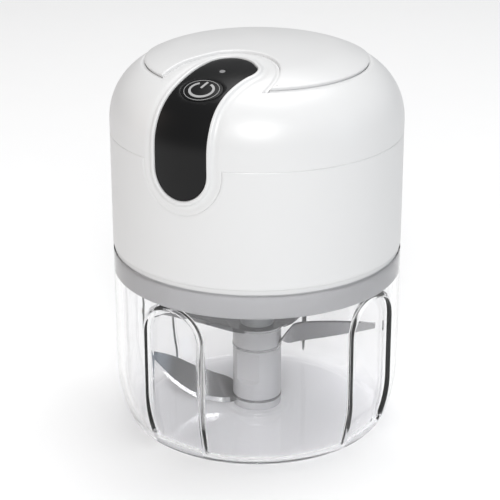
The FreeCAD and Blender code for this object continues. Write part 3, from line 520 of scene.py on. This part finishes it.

# --- Drive cover and seals ------------------------------------------------------------------
# The cover closes the motor unit from below; its band drops inside the bowl's rim and four screws
# hold it.
# Its grey is painted shade: white plastic darkened all over to the shade its band sits in under the
# shell.
# A white silicone ring seals it on the rim and a rubber lip seals the shaft.

# Painted shade: a white plastic darkened to the grey its band shows in shade under the shell.
cover_shade_grey = moulded("pale_grey_plastic", (0.42, 0.42, 0.43), 0.38, grain=0.25 * mm)
white_silicone = moulded("white_silicone", (0.62, 0.62, 0.62), 0.45)
black_rubber = moulded("black_rubber", (0.03, 0.03, 0.032), 0.65)
even_angles = [2 * math.pi * step / 240 for step in range(240)]
dress(cover_shade_grey, "drive_cover")
# A sleeve over the cover's band, a little wider than the band, with a rounded lower edge.
shape("cover_band", [turned_rows([(39.6, 57.0), (40.55, 57.0), (40.55, 48.5), (40.45, 48.15),
                                  (40.2, 47.97), (39.8, 47.9), (39.6, 47.95), (39.6, 57.0)],
                                 even_angles)],
      cover_shade_grey, "motor_unit")
dress(white_silicone, "seal_ring")
dress(black_rubber, "shaft_seal")
dress(polished_steel, "drive_shaft")


def node_piece(name, source, tree, values, body, replaced):
    """Runs a node tree on the source object and keeps its result as a plain piece."""
    modifier = source.modifiers.new(name, "NODES")
    modifier.node_group = tree
    sockets = {item.name: item.identifier for item in tree.interface.items_tree
               if item.in_out == "INPUT"}
    for key, value in values.items():
        modifier[sockets[key]] = value
    evaluated = source.evaluated_get(bpy.context.evaluated_depsgraph_get())
    piece = bpy.data.objects.new(name, bpy.data.meshes.new_from_object(evaluated))
    bpy.context.scene.collection.objects.link(piece)
    source.modifiers.remove(modifier)
    bpy.data.objects.remove(source)
    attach(piece, body)
    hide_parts(*replaced)


def circle_tree():
    """A tree that sets copies of the source, evenly turned, on a circle round the axis."""
    tree = bpy.data.node_groups.new("on_circle", "GeometryNodeTree")
    tree.interface.new_socket("Geometry", in_out="INPUT", socket_type="NodeSocketGeometry")
    for title, kind in (("Copies", "Int"), ("Circle Radius", "Float"), ("First Turn", "Float"),
                        ("Height", "Float"), ("Finish", "Material")):
        tree.interface.new_socket(title, in_out="INPUT", socket_type="NodeSocket" + kind)
    tree.interface.new_socket("Geometry", in_out="OUTPUT", socket_type="NodeSocketGeometry")
    given, circle, place, spot, centre, copies, real, finish, result = (
        tree.nodes.new(kind) for kind in (
            "NodeGroupInput", "GeometryNodeMeshCircle", "GeometryNodeTransform",
            "ShaderNodeCombineXYZ", "ShaderNodeCombineXYZ", "GeometryNodeInstanceOnPoints",
            "GeometryNodeRealizeInstances", "GeometryNodeSetMaterial", "NodeGroupOutput"))
    for source, target in (
            (given.outputs["Copies"], circle.inputs["Vertices"]),
            (given.outputs["Circle Radius"], circle.inputs["Radius"]),
            (circle.outputs["Mesh"], place.inputs["Geometry"]),
            (given.outputs["Height"], spot.inputs["Z"]),
            (spot.outputs[0], place.inputs["Translation"]),
            (given.outputs["First Turn"], centre.inputs["Z"]),
            (centre.outputs[0], place.inputs["Rotation"]),
            (place.outputs["Geometry"], copies.inputs["Points"]),
            (given.outputs["Geometry"], copies.inputs["Instance"]),
            (copies.outputs["Instances"], real.inputs["Geometry"]),
            (real.outputs["Geometry"], finish.inputs["Geometry"]),
            (given.outputs["Finish"], finish.inputs["Material"]),
            (finish.outputs["Geometry"], result.inputs["Geometry"])):
        tree.links.new(source, target)
    return tree


def screw_mesh(head, head_height, shank, length):
    """A pan-head screw, head down, with a cross recess; z runs up from the head's face."""
    slot_width, slot_reach = head * 0.13, head * 0.56
    edge = math.atan(slot_width / slot_reach)
    angles = [quarter * math.pi / 2 + turn for quarter in range(4)
              for turn in (-edge, 0, edge, 0.4, 0.6, math.pi / 4, 0.97, 1.17)]
    cross = []
    for index, angle in enumerate(angles):
        turn = (angle + math.pi / 4) % (math.pi / 2) - math.pi / 4
        cross.append(slot_reach / math.cos(turn) if abs(turn) <= edge + 1e-6
                     else slot_width / abs(math.sin(turn)))
    rings = [([0] * 32, head * 0.3), ([reach * 0.8 for reach in cross], head * 0.3), (cross, 0)]
    rings += [([radius] * 32, height) for radius, height in (
        (head * 0.86, 0), (head * 0.96, 0.08), (head, 0.3), (head, head_height),
        (shank, head_height), (shank, length - 0.35), (shank * 0.7, length), (0, length))]
    return rows_joined([[(reach * math.cos(angle), reach * math.sin(angle), height)
                         for reach, angle in zip(ring, angles)] for ring, height in rings])


screw_head, screw_head_height, screw_shank, screw_length = 2.5, 1.55, 1.25, 23.25
screw_circle, screw_face = 33, 48.95
screw = screw_mesh(screw_head, screw_head_height, screw_shank, screw_length)
node_piece("cover_screws", joined("screw_source", [screw], sharp=30), circle_tree(),
           {"Copies": 4, "Circle Radius": screw_circle * mm, "First Turn": math.pi / 4,
            "Height": screw_face * mm, "Finish": polished_steel},
           "motor_unit", ["housing_screws"])

# --- Motor ----------------------------------------------------------------------------------
# A small brushed motor in a zinc-plated can, held in the moulded frame's sleeve: laminated core,
# copper winding and commutator, two ferrite magnets, sintered bronze bushings.

dress(metal("zinc_plate", (0.62, 0.63, 0.65), 0.35), "motor_can")
dress(metal("motor_shaft_steel", (0.66, 0.67, 0.68), 0.2, (1, 1, 8)), "motor_shaft")
dress(metal("bronze", (0.62, 0.45, 0.25), 0.45), "lower_bushing", "upper_bushing")
dress(moulded("black_plastic", (0.045, 0.045, 0.05), 0.5), "motor_end_cap")
dress(metal("lamination_steel", (0.42, 0.42, 0.43), 0.45, (8, 8, 1), 0.35 * mm), "rotor_core")
dress(metal("copper", (0.80, 0.42, 0.24), 0.3, (1, 1, 6)), "rotor_winding", "commutator")
dress(moulded("ferrite", (0.11, 0.11, 0.12), 0.7), "field_magnets")
grey_plastic = moulded("grey_plastic", (0.36, 0.37, 0.38), 0.5)
dress(grey_plastic, "motor_frame")

# --- Housing shell --------------------------------------------------------------------------
# The white gloss shell round the motor: a plain moulded wall, notched at the front for the dome
# cover's tongue, with a shallow seat at the back for the charging port's cover.

shoulder_radius, crown_radius, top_arc = 18.2, 29.3, 170.314
shoulder_bend, crown_bend = math.radians(30.6), math.radians(7.6)
dome_start = 94.6
shoulder_x = body_radius - shoulder_radius
crown_x = shoulder_x + (shoulder_radius - crown_radius) * math.sin(shoulder_bend)
crown_z = dome_start + (shoulder_radius - crown_radius) * math.cos(shoulder_bend)
top_z = crown_z + (crown_radius - top_arc) * math.cos(crown_bend)
crown_run = top_arc * crown_bend
shoulder_run = crown_run + crown_radius * (shoulder_bend - crown_bend)
side_run = shoulder_run + shoulder_radius * (math.pi / 2 - shoulder_bend)


def housing_point(run, azimuth, height):
    """A point of the housing's outside: run is the way down from the dome's top along the
    surface, height stands off the surface. Gives the point and the surface's normal."""
    if run < crown_run:
        bend = run / top_arc
        radius, z = (top_arc + height) * math.sin(bend), top_z + (top_arc + height) * math.cos(bend)
    elif run < shoulder_run:
        bend = crown_bend + (run - crown_run) / crown_radius
        radius = crown_x + (crown_radius + height) * math.sin(bend)
        z = crown_z + (crown_radius + height) * math.cos(bend)
    elif run < side_run:
        bend = shoulder_bend + (run - shoulder_run) / shoulder_radius
        radius = shoulder_x + (shoulder_radius + height) * math.sin(bend)
        z = dome_start + (shoulder_radius + height) * math.cos(bend)
    else:
        bend = math.pi / 2
        radius, z = body_radius + height, dome_start - (run - side_run)
    across = Vector((math.cos(azimuth), math.sin(azimuth), 0))
    normal = across * math.sin(bend) + Vector((0, 0, math.cos(bend)))
    return across * radius + Vector((0, 0, z)), normal


def on_housing(point):
    """The (run, azimuth, height) of a point in space."""
    radius = math.hypot(point[0], point[1])
    azimuth = math.atan2(point[1], point[0])
    z = point[2]
    if z < dome_start:
        return side_run + dome_start - z, azimuth, radius - body_radius
    bend = math.atan2(radius - shoulder_x, z - dome_start)
    if bend > shoulder_bend:
        height = math.hypot(radius - shoulder_x, z - dome_start) - shoulder_radius
        return shoulder_run + shoulder_radius * (bend - shoulder_bend), azimuth, height
    bend = math.atan2(radius - crown_x, z - crown_z)
    if bend > crown_bend:
        height = math.hypot(radius - crown_x, z - crown_z) - crown_radius
        return crown_run + crown_radius * (bend - crown_bend), azimuth, height
    bend = math.atan2(radius, z - top_z)
    return top_arc * bend, azimuth, math.hypot(radius, z - top_z) - top_arc


def land(start, direction):
    """Where a line that comes from outside along direction meets the housing."""
    near, far = 0.0, 60.0
    for _ in range(40):
        middle = (near + far) / 2
        if on_housing(start + direction * middle)[2] > 0:
            near = middle
        else:
            far = middle
    return on_housing(start + direction * near)[:2]


def spread(path, spacing):
    """Even points along a path of corners (x, y[, arc radius]); a positive radius bends left."""
    fine = []
    for index, here in enumerate(path[:-1]):
        start, stop = Vector(here[:2]), Vector(path[index + 1][:2])
        steps = 60
        if len(here) == 2:
            fine += [start.lerp(stop, step / steps) for step in range(steps)]
            continue
        radius = here[2]
        chord = stop - start
        rise = math.sqrt(max(radius ** 2 - chord.length_squared / 4, 0))
        centre = (start + stop) / 2 + Vector((-chord.y, chord.x)).normalized() * math.copysign(
            rise, radius)
        first, last = (start - centre), (stop - centre)
        turn = -first.angle_signed(last)
        for step in range(steps):
            angle = math.atan2(first.y, first.x) + turn * step / steps
            fine.append(centre + Vector((math.cos(angle), math.sin(angle))) * abs(radius))
    fine.append(Vector(path[-1][:2]))
    lengths = [0.0]
    for before, after in zip(fine, fine[1:]):
        lengths.append(lengths[-1] + (after - before).length)
    count = max(2, round(lengths[-1] / spacing))
    wanted = [lengths[-1] * step / count for step in range(count + 1)]
    xs = np.interp(wanted, lengths, [point.x for point in fine])
    ys = np.interp(wanted, lengths, [point.y for point in fine])
    return [Vector((x, y)) for x, y in zip(xs, ys)]


def flat(loop):
    """The (run, azimuth) points of a loop laid out flat about the dome's top."""
    return [(place[0] * math.cos(place[1]), place[0] * math.sin(place[1])) for place in loop]


def anticlockwise(loop):
    points = flat(loop)
    area = sum(x * points[index - 1][1] - points[index - 1][0] * y
               for index, (x, y) in enumerate(points))
    return loop if area < 0 else loop[::-1]


def grown(loop, offsets):
    """The loop moved outwards over the surface, by one offset or by one for each point."""
    count = len(loop)
    if not hasattr(offsets, "__len__"):
        offsets = [offsets] * count
    space = [housing_point(*place, 0) for place in loop]
    moved = []
    for index, (point, normal) in enumerate(space):
        before = (point - space[index - 1][0]).normalized()
        after = (space[(index + 1) % count][0] - point).normalized()
        along = before + after
        outwards = along.cross(normal).normalized()
        stretch = min(1.6, 1 / max(0.4, before.cross(normal).normalized().dot(outwards)))
        moved.append(point + outwards * offsets[index] * stretch)
    reach = abs(offsets[0])
    if reach > 0.4:
        tree = KDTree(count)
        for index, (point, normal) in enumerate(space):
            tree.insert(point, index)
        tree.balance()
        moved = [point for point, offset in zip(moved, offsets)
                 if tree.find(point)[2] > 0.9 * abs(offset)]
    return [on_housing(point)[:2] for point in moved]


def inside(points, loop):
    """For each flat point, whether it lies inside the flat loop."""
    x, y = np.asarray(points, float).T
    within = np.zeros(len(x), bool)
    border = flat(loop)
    for index, (x2, y2) in enumerate(border):
        x1, y1 = border[index - 1]
        if y1 == y2:
            continue
        crossing = (y1 > y) != (y2 > y)
        within ^= crossing & (x < (x2 - x1) * (y - y1) / (y2 - y1) + x1)
    return within


class Skin:
    """A sheet laid over the housing's outside, bounded by loops and triangulated between them."""

    def __init__(self):
        self.places = []
        self.edges = []

    def loop(self, loop, height):
        start, count = len(self.places), len(loop)
        self.places += [(*place, height) for place in loop]
        self.edges += [(start + index, start + (index + 1) % count) for index in range(count)]
        return loop

    def fill(self, spacing, height, within, without=()):
        """Rings of points at one height, kept clear of the loops already laid."""
        taken = KDTree(len(self.places))
        for index, place in enumerate(self.places):
            taken.insert(housing_point(place[0], place[1], 0)[0], index)
        taken.balance()
        places = []
        for ring in range(int(95 / spacing)):
            run = ring * spacing
            radius = housing_point(run, 0, 0)[0].x
            count = max(1, round(2 * math.pi * radius / spacing))
            places += [(run, 2 * math.pi * (step + 0.5 * (ring % 2)) / count - math.pi)
                       for step in range(count)]
        keep = inside(flat(places), within)
        for loop in without:
            keep &= ~inside(flat(places), loop)
        for place, kept in zip(places, keep):
            if kept and taken.find(housing_point(*place, 0)[0])[2] > spacing * 0.6:
                self.places.append((*place, height))

    def mesh(self, within, without=(), inner=False):
        flat_places = flat(self.places)
        points, _, faces, sources, _, _ = delaunay_2d_cdt(
            [Vector(place) for place in flat_places], self.edges, [], 0, 1e-5)
        vertices = []
        for point, source in zip(points, sources):
            run, azimuth = point.length, math.atan2(point.y, point.x)
            height = self.places[source[0]][2] if source else 0.0
            if source:
                run, azimuth = self.places[source[0]][:2]
            vertices.append(housing_point(run, azimuth, height)[0])
        middles = [sum((points[index] for index in face), Vector((0, 0))) / len(face)
                   for face in faces]
        keep = inside(middles, within)
        for loop in without:
            keep &= ~inside(middles, loop)
        order = -1 if inner else 1
        return vertices, [tuple(face)[::order] for face, kept in zip(faces, keep) if kept]


def wall_between(loop, high, low):
    """The strip along a loop between two heights."""
    count = len(loop)
    vertices = [housing_point(*place, height)[0] for height in (high, low) for place in loop]
    return vertices, [(i, (i + 1) % count, count + (i + 1) % count, count + i)
                      for i in range(count)]


def level(z, spacing=1.2):
    """A loop round the side at one height."""
    count = round(2 * math.pi * body_radius / spacing)
    return [(side_run + dome_start - z, 2 * math.pi * step / count - math.pi)
            for step in range(count)]


def seam_loop(z, half_width, bottom):
    """The joint line: level all round, dipping at the front round the tongue."""
    foot = spread([(-half_width, z), (-half_width, bottom + half_width, half_width),
                   (0, bottom, half_width), (half_width, bottom + half_width),
                   (half_width, z)], 0.8)
    front = [(side_run + dome_start - point.y, math.atan2(
        -math.sqrt(body_radius ** 2 - point.x ** 2), point.x)) for point in foot]
    first, last = front[-1][1], front[0][1] + 2 * math.pi
    count = round((last - first) * body_radius / 1.2)
    rest = [(side_run + dome_start - z, first + (last - first) * step / count)
            for step in range(1, count)]
    return anticlockwise(front + rest)


seam_height, tongue_half_width, tongue_bottom, wall = 91.2, 12.4, 77.25, 2.2
shell_seam = seam_loop(seam_height - 0.02, tongue_half_width + 0.02, tongue_bottom - 0.02)
shell_foot = level(57.0)
port_middle, port_half_height, port_half_width, port_seat = 72.0, 4.8, 7.3, 1.05


def port_loop(half_width, half_height, spacing=0.6):
    """A rectangle on the back of the side, about the charging port."""
    path = spread([(-half_width, -half_height), (half_width, -half_height),
                   (half_width, half_height), (-half_width, half_height),
                   (-half_width, -half_height)], spacing)[:-1]
    return anticlockwise([(side_run + dome_start - port_middle - point.y,
                           math.pi / 2 - point.x / body_radius) for point in path])


port_edge = port_loop(port_half_width, port_half_height)
port_mouth = port_loop(4.7, 1.8)
shell = Skin()
shell.loop(shell_foot, -0.3)
shell.loop(level(57.15), -0.08)
shell.loop(level(57.45), 0)
shell.loop(level(58.3), 0)
shell.loop(shell_seam, -0.15)
shell.loop(grown(shell_seam, 0.22), -0.03)
shell.loop(grown(shell_seam, 0.3), 0)
shell.loop(grown(shell_seam, 1.0), 0)
shell.loop(grown(port_edge, 0.25), 0)
shell.loop(port_edge, -0.25)
for seat_loop in (grown(port_edge, -0.04), grown(port_edge, -0.5), port_mouth):
    shell.loop(seat_loop, -port_seat)
shell.fill(1.6, 0, shell_foot, [shell_seam, port_edge])
shell_inside = Skin()
for edge_loop in (shell_foot, shell_seam, port_mouth):
    shell_inside.loop(edge_loop, -wall)
shell_inside.fill(4, -wall, shell_foot, [shell_seam, port_mouth])
white_plastic = moulded("white_plastic", (0.66, 0.66, 0.66), 0.34, spread=0.015,
                        depth=0.0008 * mm)
shape("white_shell", [
    shell.mesh(shell_foot, [shell_seam, port_mouth]),
    shell_inside.mesh(shell_foot, [shell_seam, port_mouth], inner=True),
    wall_between(shell_foot, -0.3, -wall), wall_between(shell_seam, -0.15, -wall),
    wall_between(port_mouth, -port_seat, -wall)],
    white_plastic, "motor_unit", ["housing_shell"])

# --- Dome cover -----------------------------------------------------------------------------
# The white gloss dome, with a tongue that runs down into the shell. A raised rim and a soft
# hollow follow the black panel's outline, and a shallow step takes the raised top plate.

panel_half_width, panel_bottom = 8.2, 81.35
slope = math.sqrt(0.5)


def from_front(point):
    return land(Vector((point.x, -70, point.y)), Vector((0, 1, 0)))


def from_above_front(point):
    start = Vector((point.x, point.y * slope, point.y * slope))
    return land(start + Vector((0, -slope, slope)) * 110, Vector((0, slope, -slope)) * 2)


def from_above(point):
    return land(Vector((point.x, point.y, 150)), Vector((0, 0, -1)))


foot_top = 95.4
foot_path = spread([(-panel_half_width, foot_top),
                    (-panel_half_width, panel_bottom + panel_half_width, panel_half_width),
                    (0, panel_bottom, panel_half_width),
                    (panel_half_width, panel_bottom + panel_half_width),
                    (panel_half_width, foot_top)], 0.6)
head_path = spread([(panel_half_width, 38.3), (panel_half_width, 45, -50), (11.2, 62.6, 3.9),
                    (9.6, 68.4, 9.9), (3.0, 71.0, 6.9), (-3.5, 67.2), (-6.9, 52, 57),
                    (-panel_half_width, 40), (-panel_half_width, 38.3)], 0.6)
panel_outline = anticlockwise([from_front(point) for point in foot_path]
                              + [from_above_front(point) for point in head_path[:-1]])


def hooked_disc(radius, margin):
    """The top plate's outline from above: a disc less the hook that wraps round the panel's
    head, the hook grown by the margin."""
    hook = spread([(17.0, -38), (16.6, -30.4, 15.2), (14.9, -15.6, 12.6), (-4.5, -13.6, 57),
                   (-12.5, -30.3), (-16.0, -38)], 0.6)
    if margin:
        grown_hook = []
        for index, point in enumerate(hook):
            along = (hook[min(index + 1, len(hook) - 1)] - hook[max(index - 1, 0)]).normalized()
            grown_hook.append(point + Vector((along.y, -along.x)) * margin)
        hook = grown_hook
    kept = [point for point in hook if point.length < radius]
    first, last = kept[0].normalized() * radius, kept[-1].normalized() * radius
    start = math.atan2(last.y, last.x)
    sweep = (math.atan2(first.y, first.x) - start) % (-2 * math.pi)
    count = round(abs(sweep) * radius / 0.8)
    arc = [Vector((math.cos(start + sweep * step / count), math.sin(start + sweep * step / count)))
           * radius for step in range(count)]
    return anticlockwise([from_above(point) for point in kept[1:-1] + arc + [first]])


def oval_loop(grow, spacing=0.5):
    """The button's oval on the surface, grown by a margin."""
    count = round(2 * math.pi * 5 / spacing)
    return anticlockwise([on_button_slope(6.1 + grow, 4.15 + grow, 2 * math.pi * step / count)
                          for step in range(count)])


button_centre = Vector((1.7, -33.05, 110.55))
button_tilt = math.radians(29.6)
button_turn = math.radians(8)
up_slope = Vector((0, math.cos(button_tilt), math.sin(button_tilt)))
off_slope = Vector((0, -math.sin(button_tilt), math.cos(button_tilt)))


def on_slope(across, along):
    """Where a point of the button's face, seen square on, meets the housing."""
    place = button_centre + Vector((across, 0, 0)) + up_slope * along
    return land(place + off_slope * 5, -off_slope)


def on_button_slope(half_length, half_width, angle):
    x, y = half_length * math.cos(angle), half_width * math.sin(angle)
    return on_slope(x * math.cos(button_turn) - y * math.sin(button_turn),
                    x * math.sin(button_turn) + y * math.cos(button_turn))


def indicator_loop(radius):
    return anticlockwise([from_above(Vector((3.2 + radius * math.cos(angle * math.pi / 12),
                                             -24.5 + radius * math.sin(angle * math.pi / 12))))
                          for angle in range(24)])


recess = hooked_disc(33.0, 0)
dome_seam = seam_loop(seam_height, tongue_half_width, tongue_bottom)
button_hole = oval_loop(0.15)
indicator_hole = indicator_loop(0.85)
recess_tree = KDTree(len(recess))
for index, place in enumerate(recess):
    recess_tree.insert(housing_point(*place, 0)[0], index)
recess_tree.balance()
room = [min(3.6, recess_tree.find(housing_point(*place, 0)[0])[2] - 0.55)
        for place in panel_outline]
rim_profile = [(-0.9, -1.3), (0.04, -1.3), (0.1, 0.05), (0.17, 0.3), (0.32, 0.44), (0.55, 0.5),
               (0.85, 0.5), (1.08, 0.44), (1.25, 0.3), (1.4, 0.1)]
hollow_profile = [(1.6, -0.06), (1.9, -0.17), (2.3, -0.22), (2.7, -0.18), (3.15, -0.07), (3.6, 0)]
dome = Skin()
dome.loop(dome_seam, -0.03)
dome.loop(grown(dome_seam, -0.05), 0)
dome.loop(grown(dome_seam, -0.2), 0)
for offset, height in rim_profile:
    dome.loop(grown(panel_outline, offset), height)
rim_edge, hollow_width = 1.4, 2.2
shares = [(limit - rim_edge) / hollow_width for limit in room]
for offset, height in hollow_profile:
    dome.loop(grown(panel_outline, [rim_edge + (offset - rim_edge) * share for share in shares]),
              height)
for offset, height in [(0.35, 0), (0.15, -0.04), (0, -0.14), (-0.18, -0.28), (-0.4, -0.38),
                       (-0.95, -0.42), (-0.98, -1.4), (-1.6, -1.4)]:
    dome.loop(grown(recess, offset), height)
for hole in (button_hole, indicator_hole):
    dome.loop(hole, -1.3)
hollow_edge = grown(panel_outline, room)
dome.fill(1.3, 0, dome_seam, [hollow_edge, recess])
dome.fill(4, -1.4, recess)
dome.fill(3, -1.3, panel_outline, [button_hole, indicator_hole])
dome_inside = Skin()
for edge_loop in (dome_seam, button_hole, indicator_hole):
    dome_inside.loop(edge_loop, -wall)
dome_inside.fill(4, -wall, dome_seam, [button_hole, indicator_hole])
shape("white_dome", [
    dome.mesh(dome_seam, [button_hole, indicator_hole]),
    dome_inside.mesh(dome_seam, [button_hole, indicator_hole], inner=True),
    wall_between(dome_seam, -0.03, -wall), wall_between(button_hole, -1.3, -wall),
    wall_between(indicator_hole, -1.3, -wall)],
    white_plastic, "motor_unit", ["dome_cover"])

# --- Top plate ------------------------------------------------------------------------------
# A thin white cap that stands half a millimetre proud in the dome's step, cut away in a hook
# round the panel's head.

plate_edge = hooked_disc(32.0, 1.0)
plate = Skin()
for offset, height in [(0, 0.1), (-0.1, 0.36), (-0.35, 0.5), (-0.9, 0.5)]:
    plate.loop(grown(plate_edge, offset), height)
plate.fill(1.6, 0.5, plate_edge)
plate_under = Skin()
plate_under.loop(plate_edge, -1.3)
plate_under.fill(4, -1.3, plate_edge)
shape("top_cap", [plate.mesh(plate_edge), plate_under.mesh(plate_edge, inner=True),
                  wall_between(plate_edge, 0.1, -1.3)],
      white_plastic, "motor_unit", ["top_plate"])

# --- Control panel, button and indicator ----------------------------------------------------
# A gloss black moulding let into the dome, flush with it. The oval button is a separate piece
# under the same black skin, with a printed ring and power sign; the lens of the lamp sits above.

panel = Skin()
panel_edge = grown(panel_outline, -0.02)
for offset, height in [(0, -0.12), (-0.12, 0), (-0.6, 0)]:
    panel.loop(grown(panel_edge, offset), height)
for hole in (button_hole, indicator_hole):
    panel.loop(hole, -0.04)
    panel.loop(grown(hole, 0.08), 0)
panel.fill(1.0, 0, panel_edge, [button_hole, indicator_hole])
panel_under = Skin()
for edge_loop in (panel_edge, button_hole, indicator_hole):
    panel_under.loop(edge_loop, -1.2)
panel_under.fill(3, -1.2, panel_edge, [button_hole, indicator_hole])
gloss_black = moulded("gloss_black", (0.006, 0.006, 0.0063), 0.30, spread=0.1,
                      depth=0.0005 * mm, Specular_IOR_Level=0.22)
shape("black_panel", [
    panel.mesh(panel_edge, [button_hole, indicator_hole]),
    panel_under.mesh(panel_edge, [button_hole, indicator_hole], inner=True),
    wall_between(panel_edge, -0.12, -1.2), wall_between(button_hole, -0.04, -1.2),
    wall_between(indicator_hole, -0.04, -1.2)],
    gloss_black, "motor_unit", ["control_panel"])
dress(gloss_black, "power_button")
dress(moulded("lens_plastic", (0.22, 0.22, 0.225), 0.35), "indicator_lens")


def printed_line(path, width, closed):
    """A raised line of ink on the button's face, along points (across, along) of the face."""
    count = len(path)
    sides = []
    for index, point in enumerate(path):
        ahead = path[(index + 1) % count] if closed or index < count - 1 else point
        behind = path[index - 1] if closed or index else point
        way = (ahead - behind).normalized()
        aside = Vector((-way.y, way.x)) * width / 2
        sides.append([point - aside, point + aside])
    vertices = []
    for first, second in sides:
        for edge, height in ((first, -0.02), (first, 0.03), (second, 0.03), (second, -0.02)):
            vertices.append(housing_point(*on_slope(edge.x, edge.y), height)[0])
    faces = []
    for index in range(count if closed else count - 1):
        here, there = index * 4, (index + 1) % count * 4
        faces += [(here + side, here + (side + 1) % 4, there + (side + 1) % 4, there + side)
                  for side in range(4)]
    if not closed:
        faces += [(3, 2, 1, 0), tuple(range(4 * count - 4, 4 * count))]
    return vertices, faces


def oval_path(half_length, half_width, start, stop, steps):
    path = []
    for step in range(steps):
        angle = math.radians(start + (stop - start) * step / (steps - 1))
        x, y = half_length * math.cos(angle), half_width * math.sin(angle)
        path.append(Vector((x * math.cos(button_turn) - y * math.sin(button_turn),
                            x * math.sin(button_turn) + y * math.cos(button_turn))))
    return path


printed_grey = moulded("printed_grey", (0.34, 0.34, 0.34), 0.5)
shape("button_print", [
    printed_line(oval_path(5.1, 3.7, 0, 360, 97)[:-1], 0.14, True),
    printed_line(oval_path(3.45, 2.55, 113, 415, 60), 0.7, False),
    printed_line([Vector((-0.41, 0.5)), Vector((0.0, 1.8)), Vector((0.42, 3.1))], 0.7, False)],
    printed_grey, "button")

# --- Control board --------------------------------------------------------------------------
# A small green board on two posts under the dome carries the button's tactile switch.

dress(moulded("circuit_board", (0.03, 0.20, 0.09), 0.35), "control_board", "power_board")
dress(polished_steel, "board_screws", "charging_socket")
dress(moulded("switch_black", (0.04, 0.04, 0.045), 0.45), "tact_switch")

# --- Battery and charging port --------------------------------------------------------------
# One sleeved lithium cell in a moulded cradle; the charging socket's board stands behind it, and
# a soft white flap covers the socket at the back.

dress(moulded("battery_sleeve", (0.07, 0.22, 0.46), 0.25), "battery_cell")
dress(grey_plastic, "battery_holder")
dress(white_silicone, "port_cover")
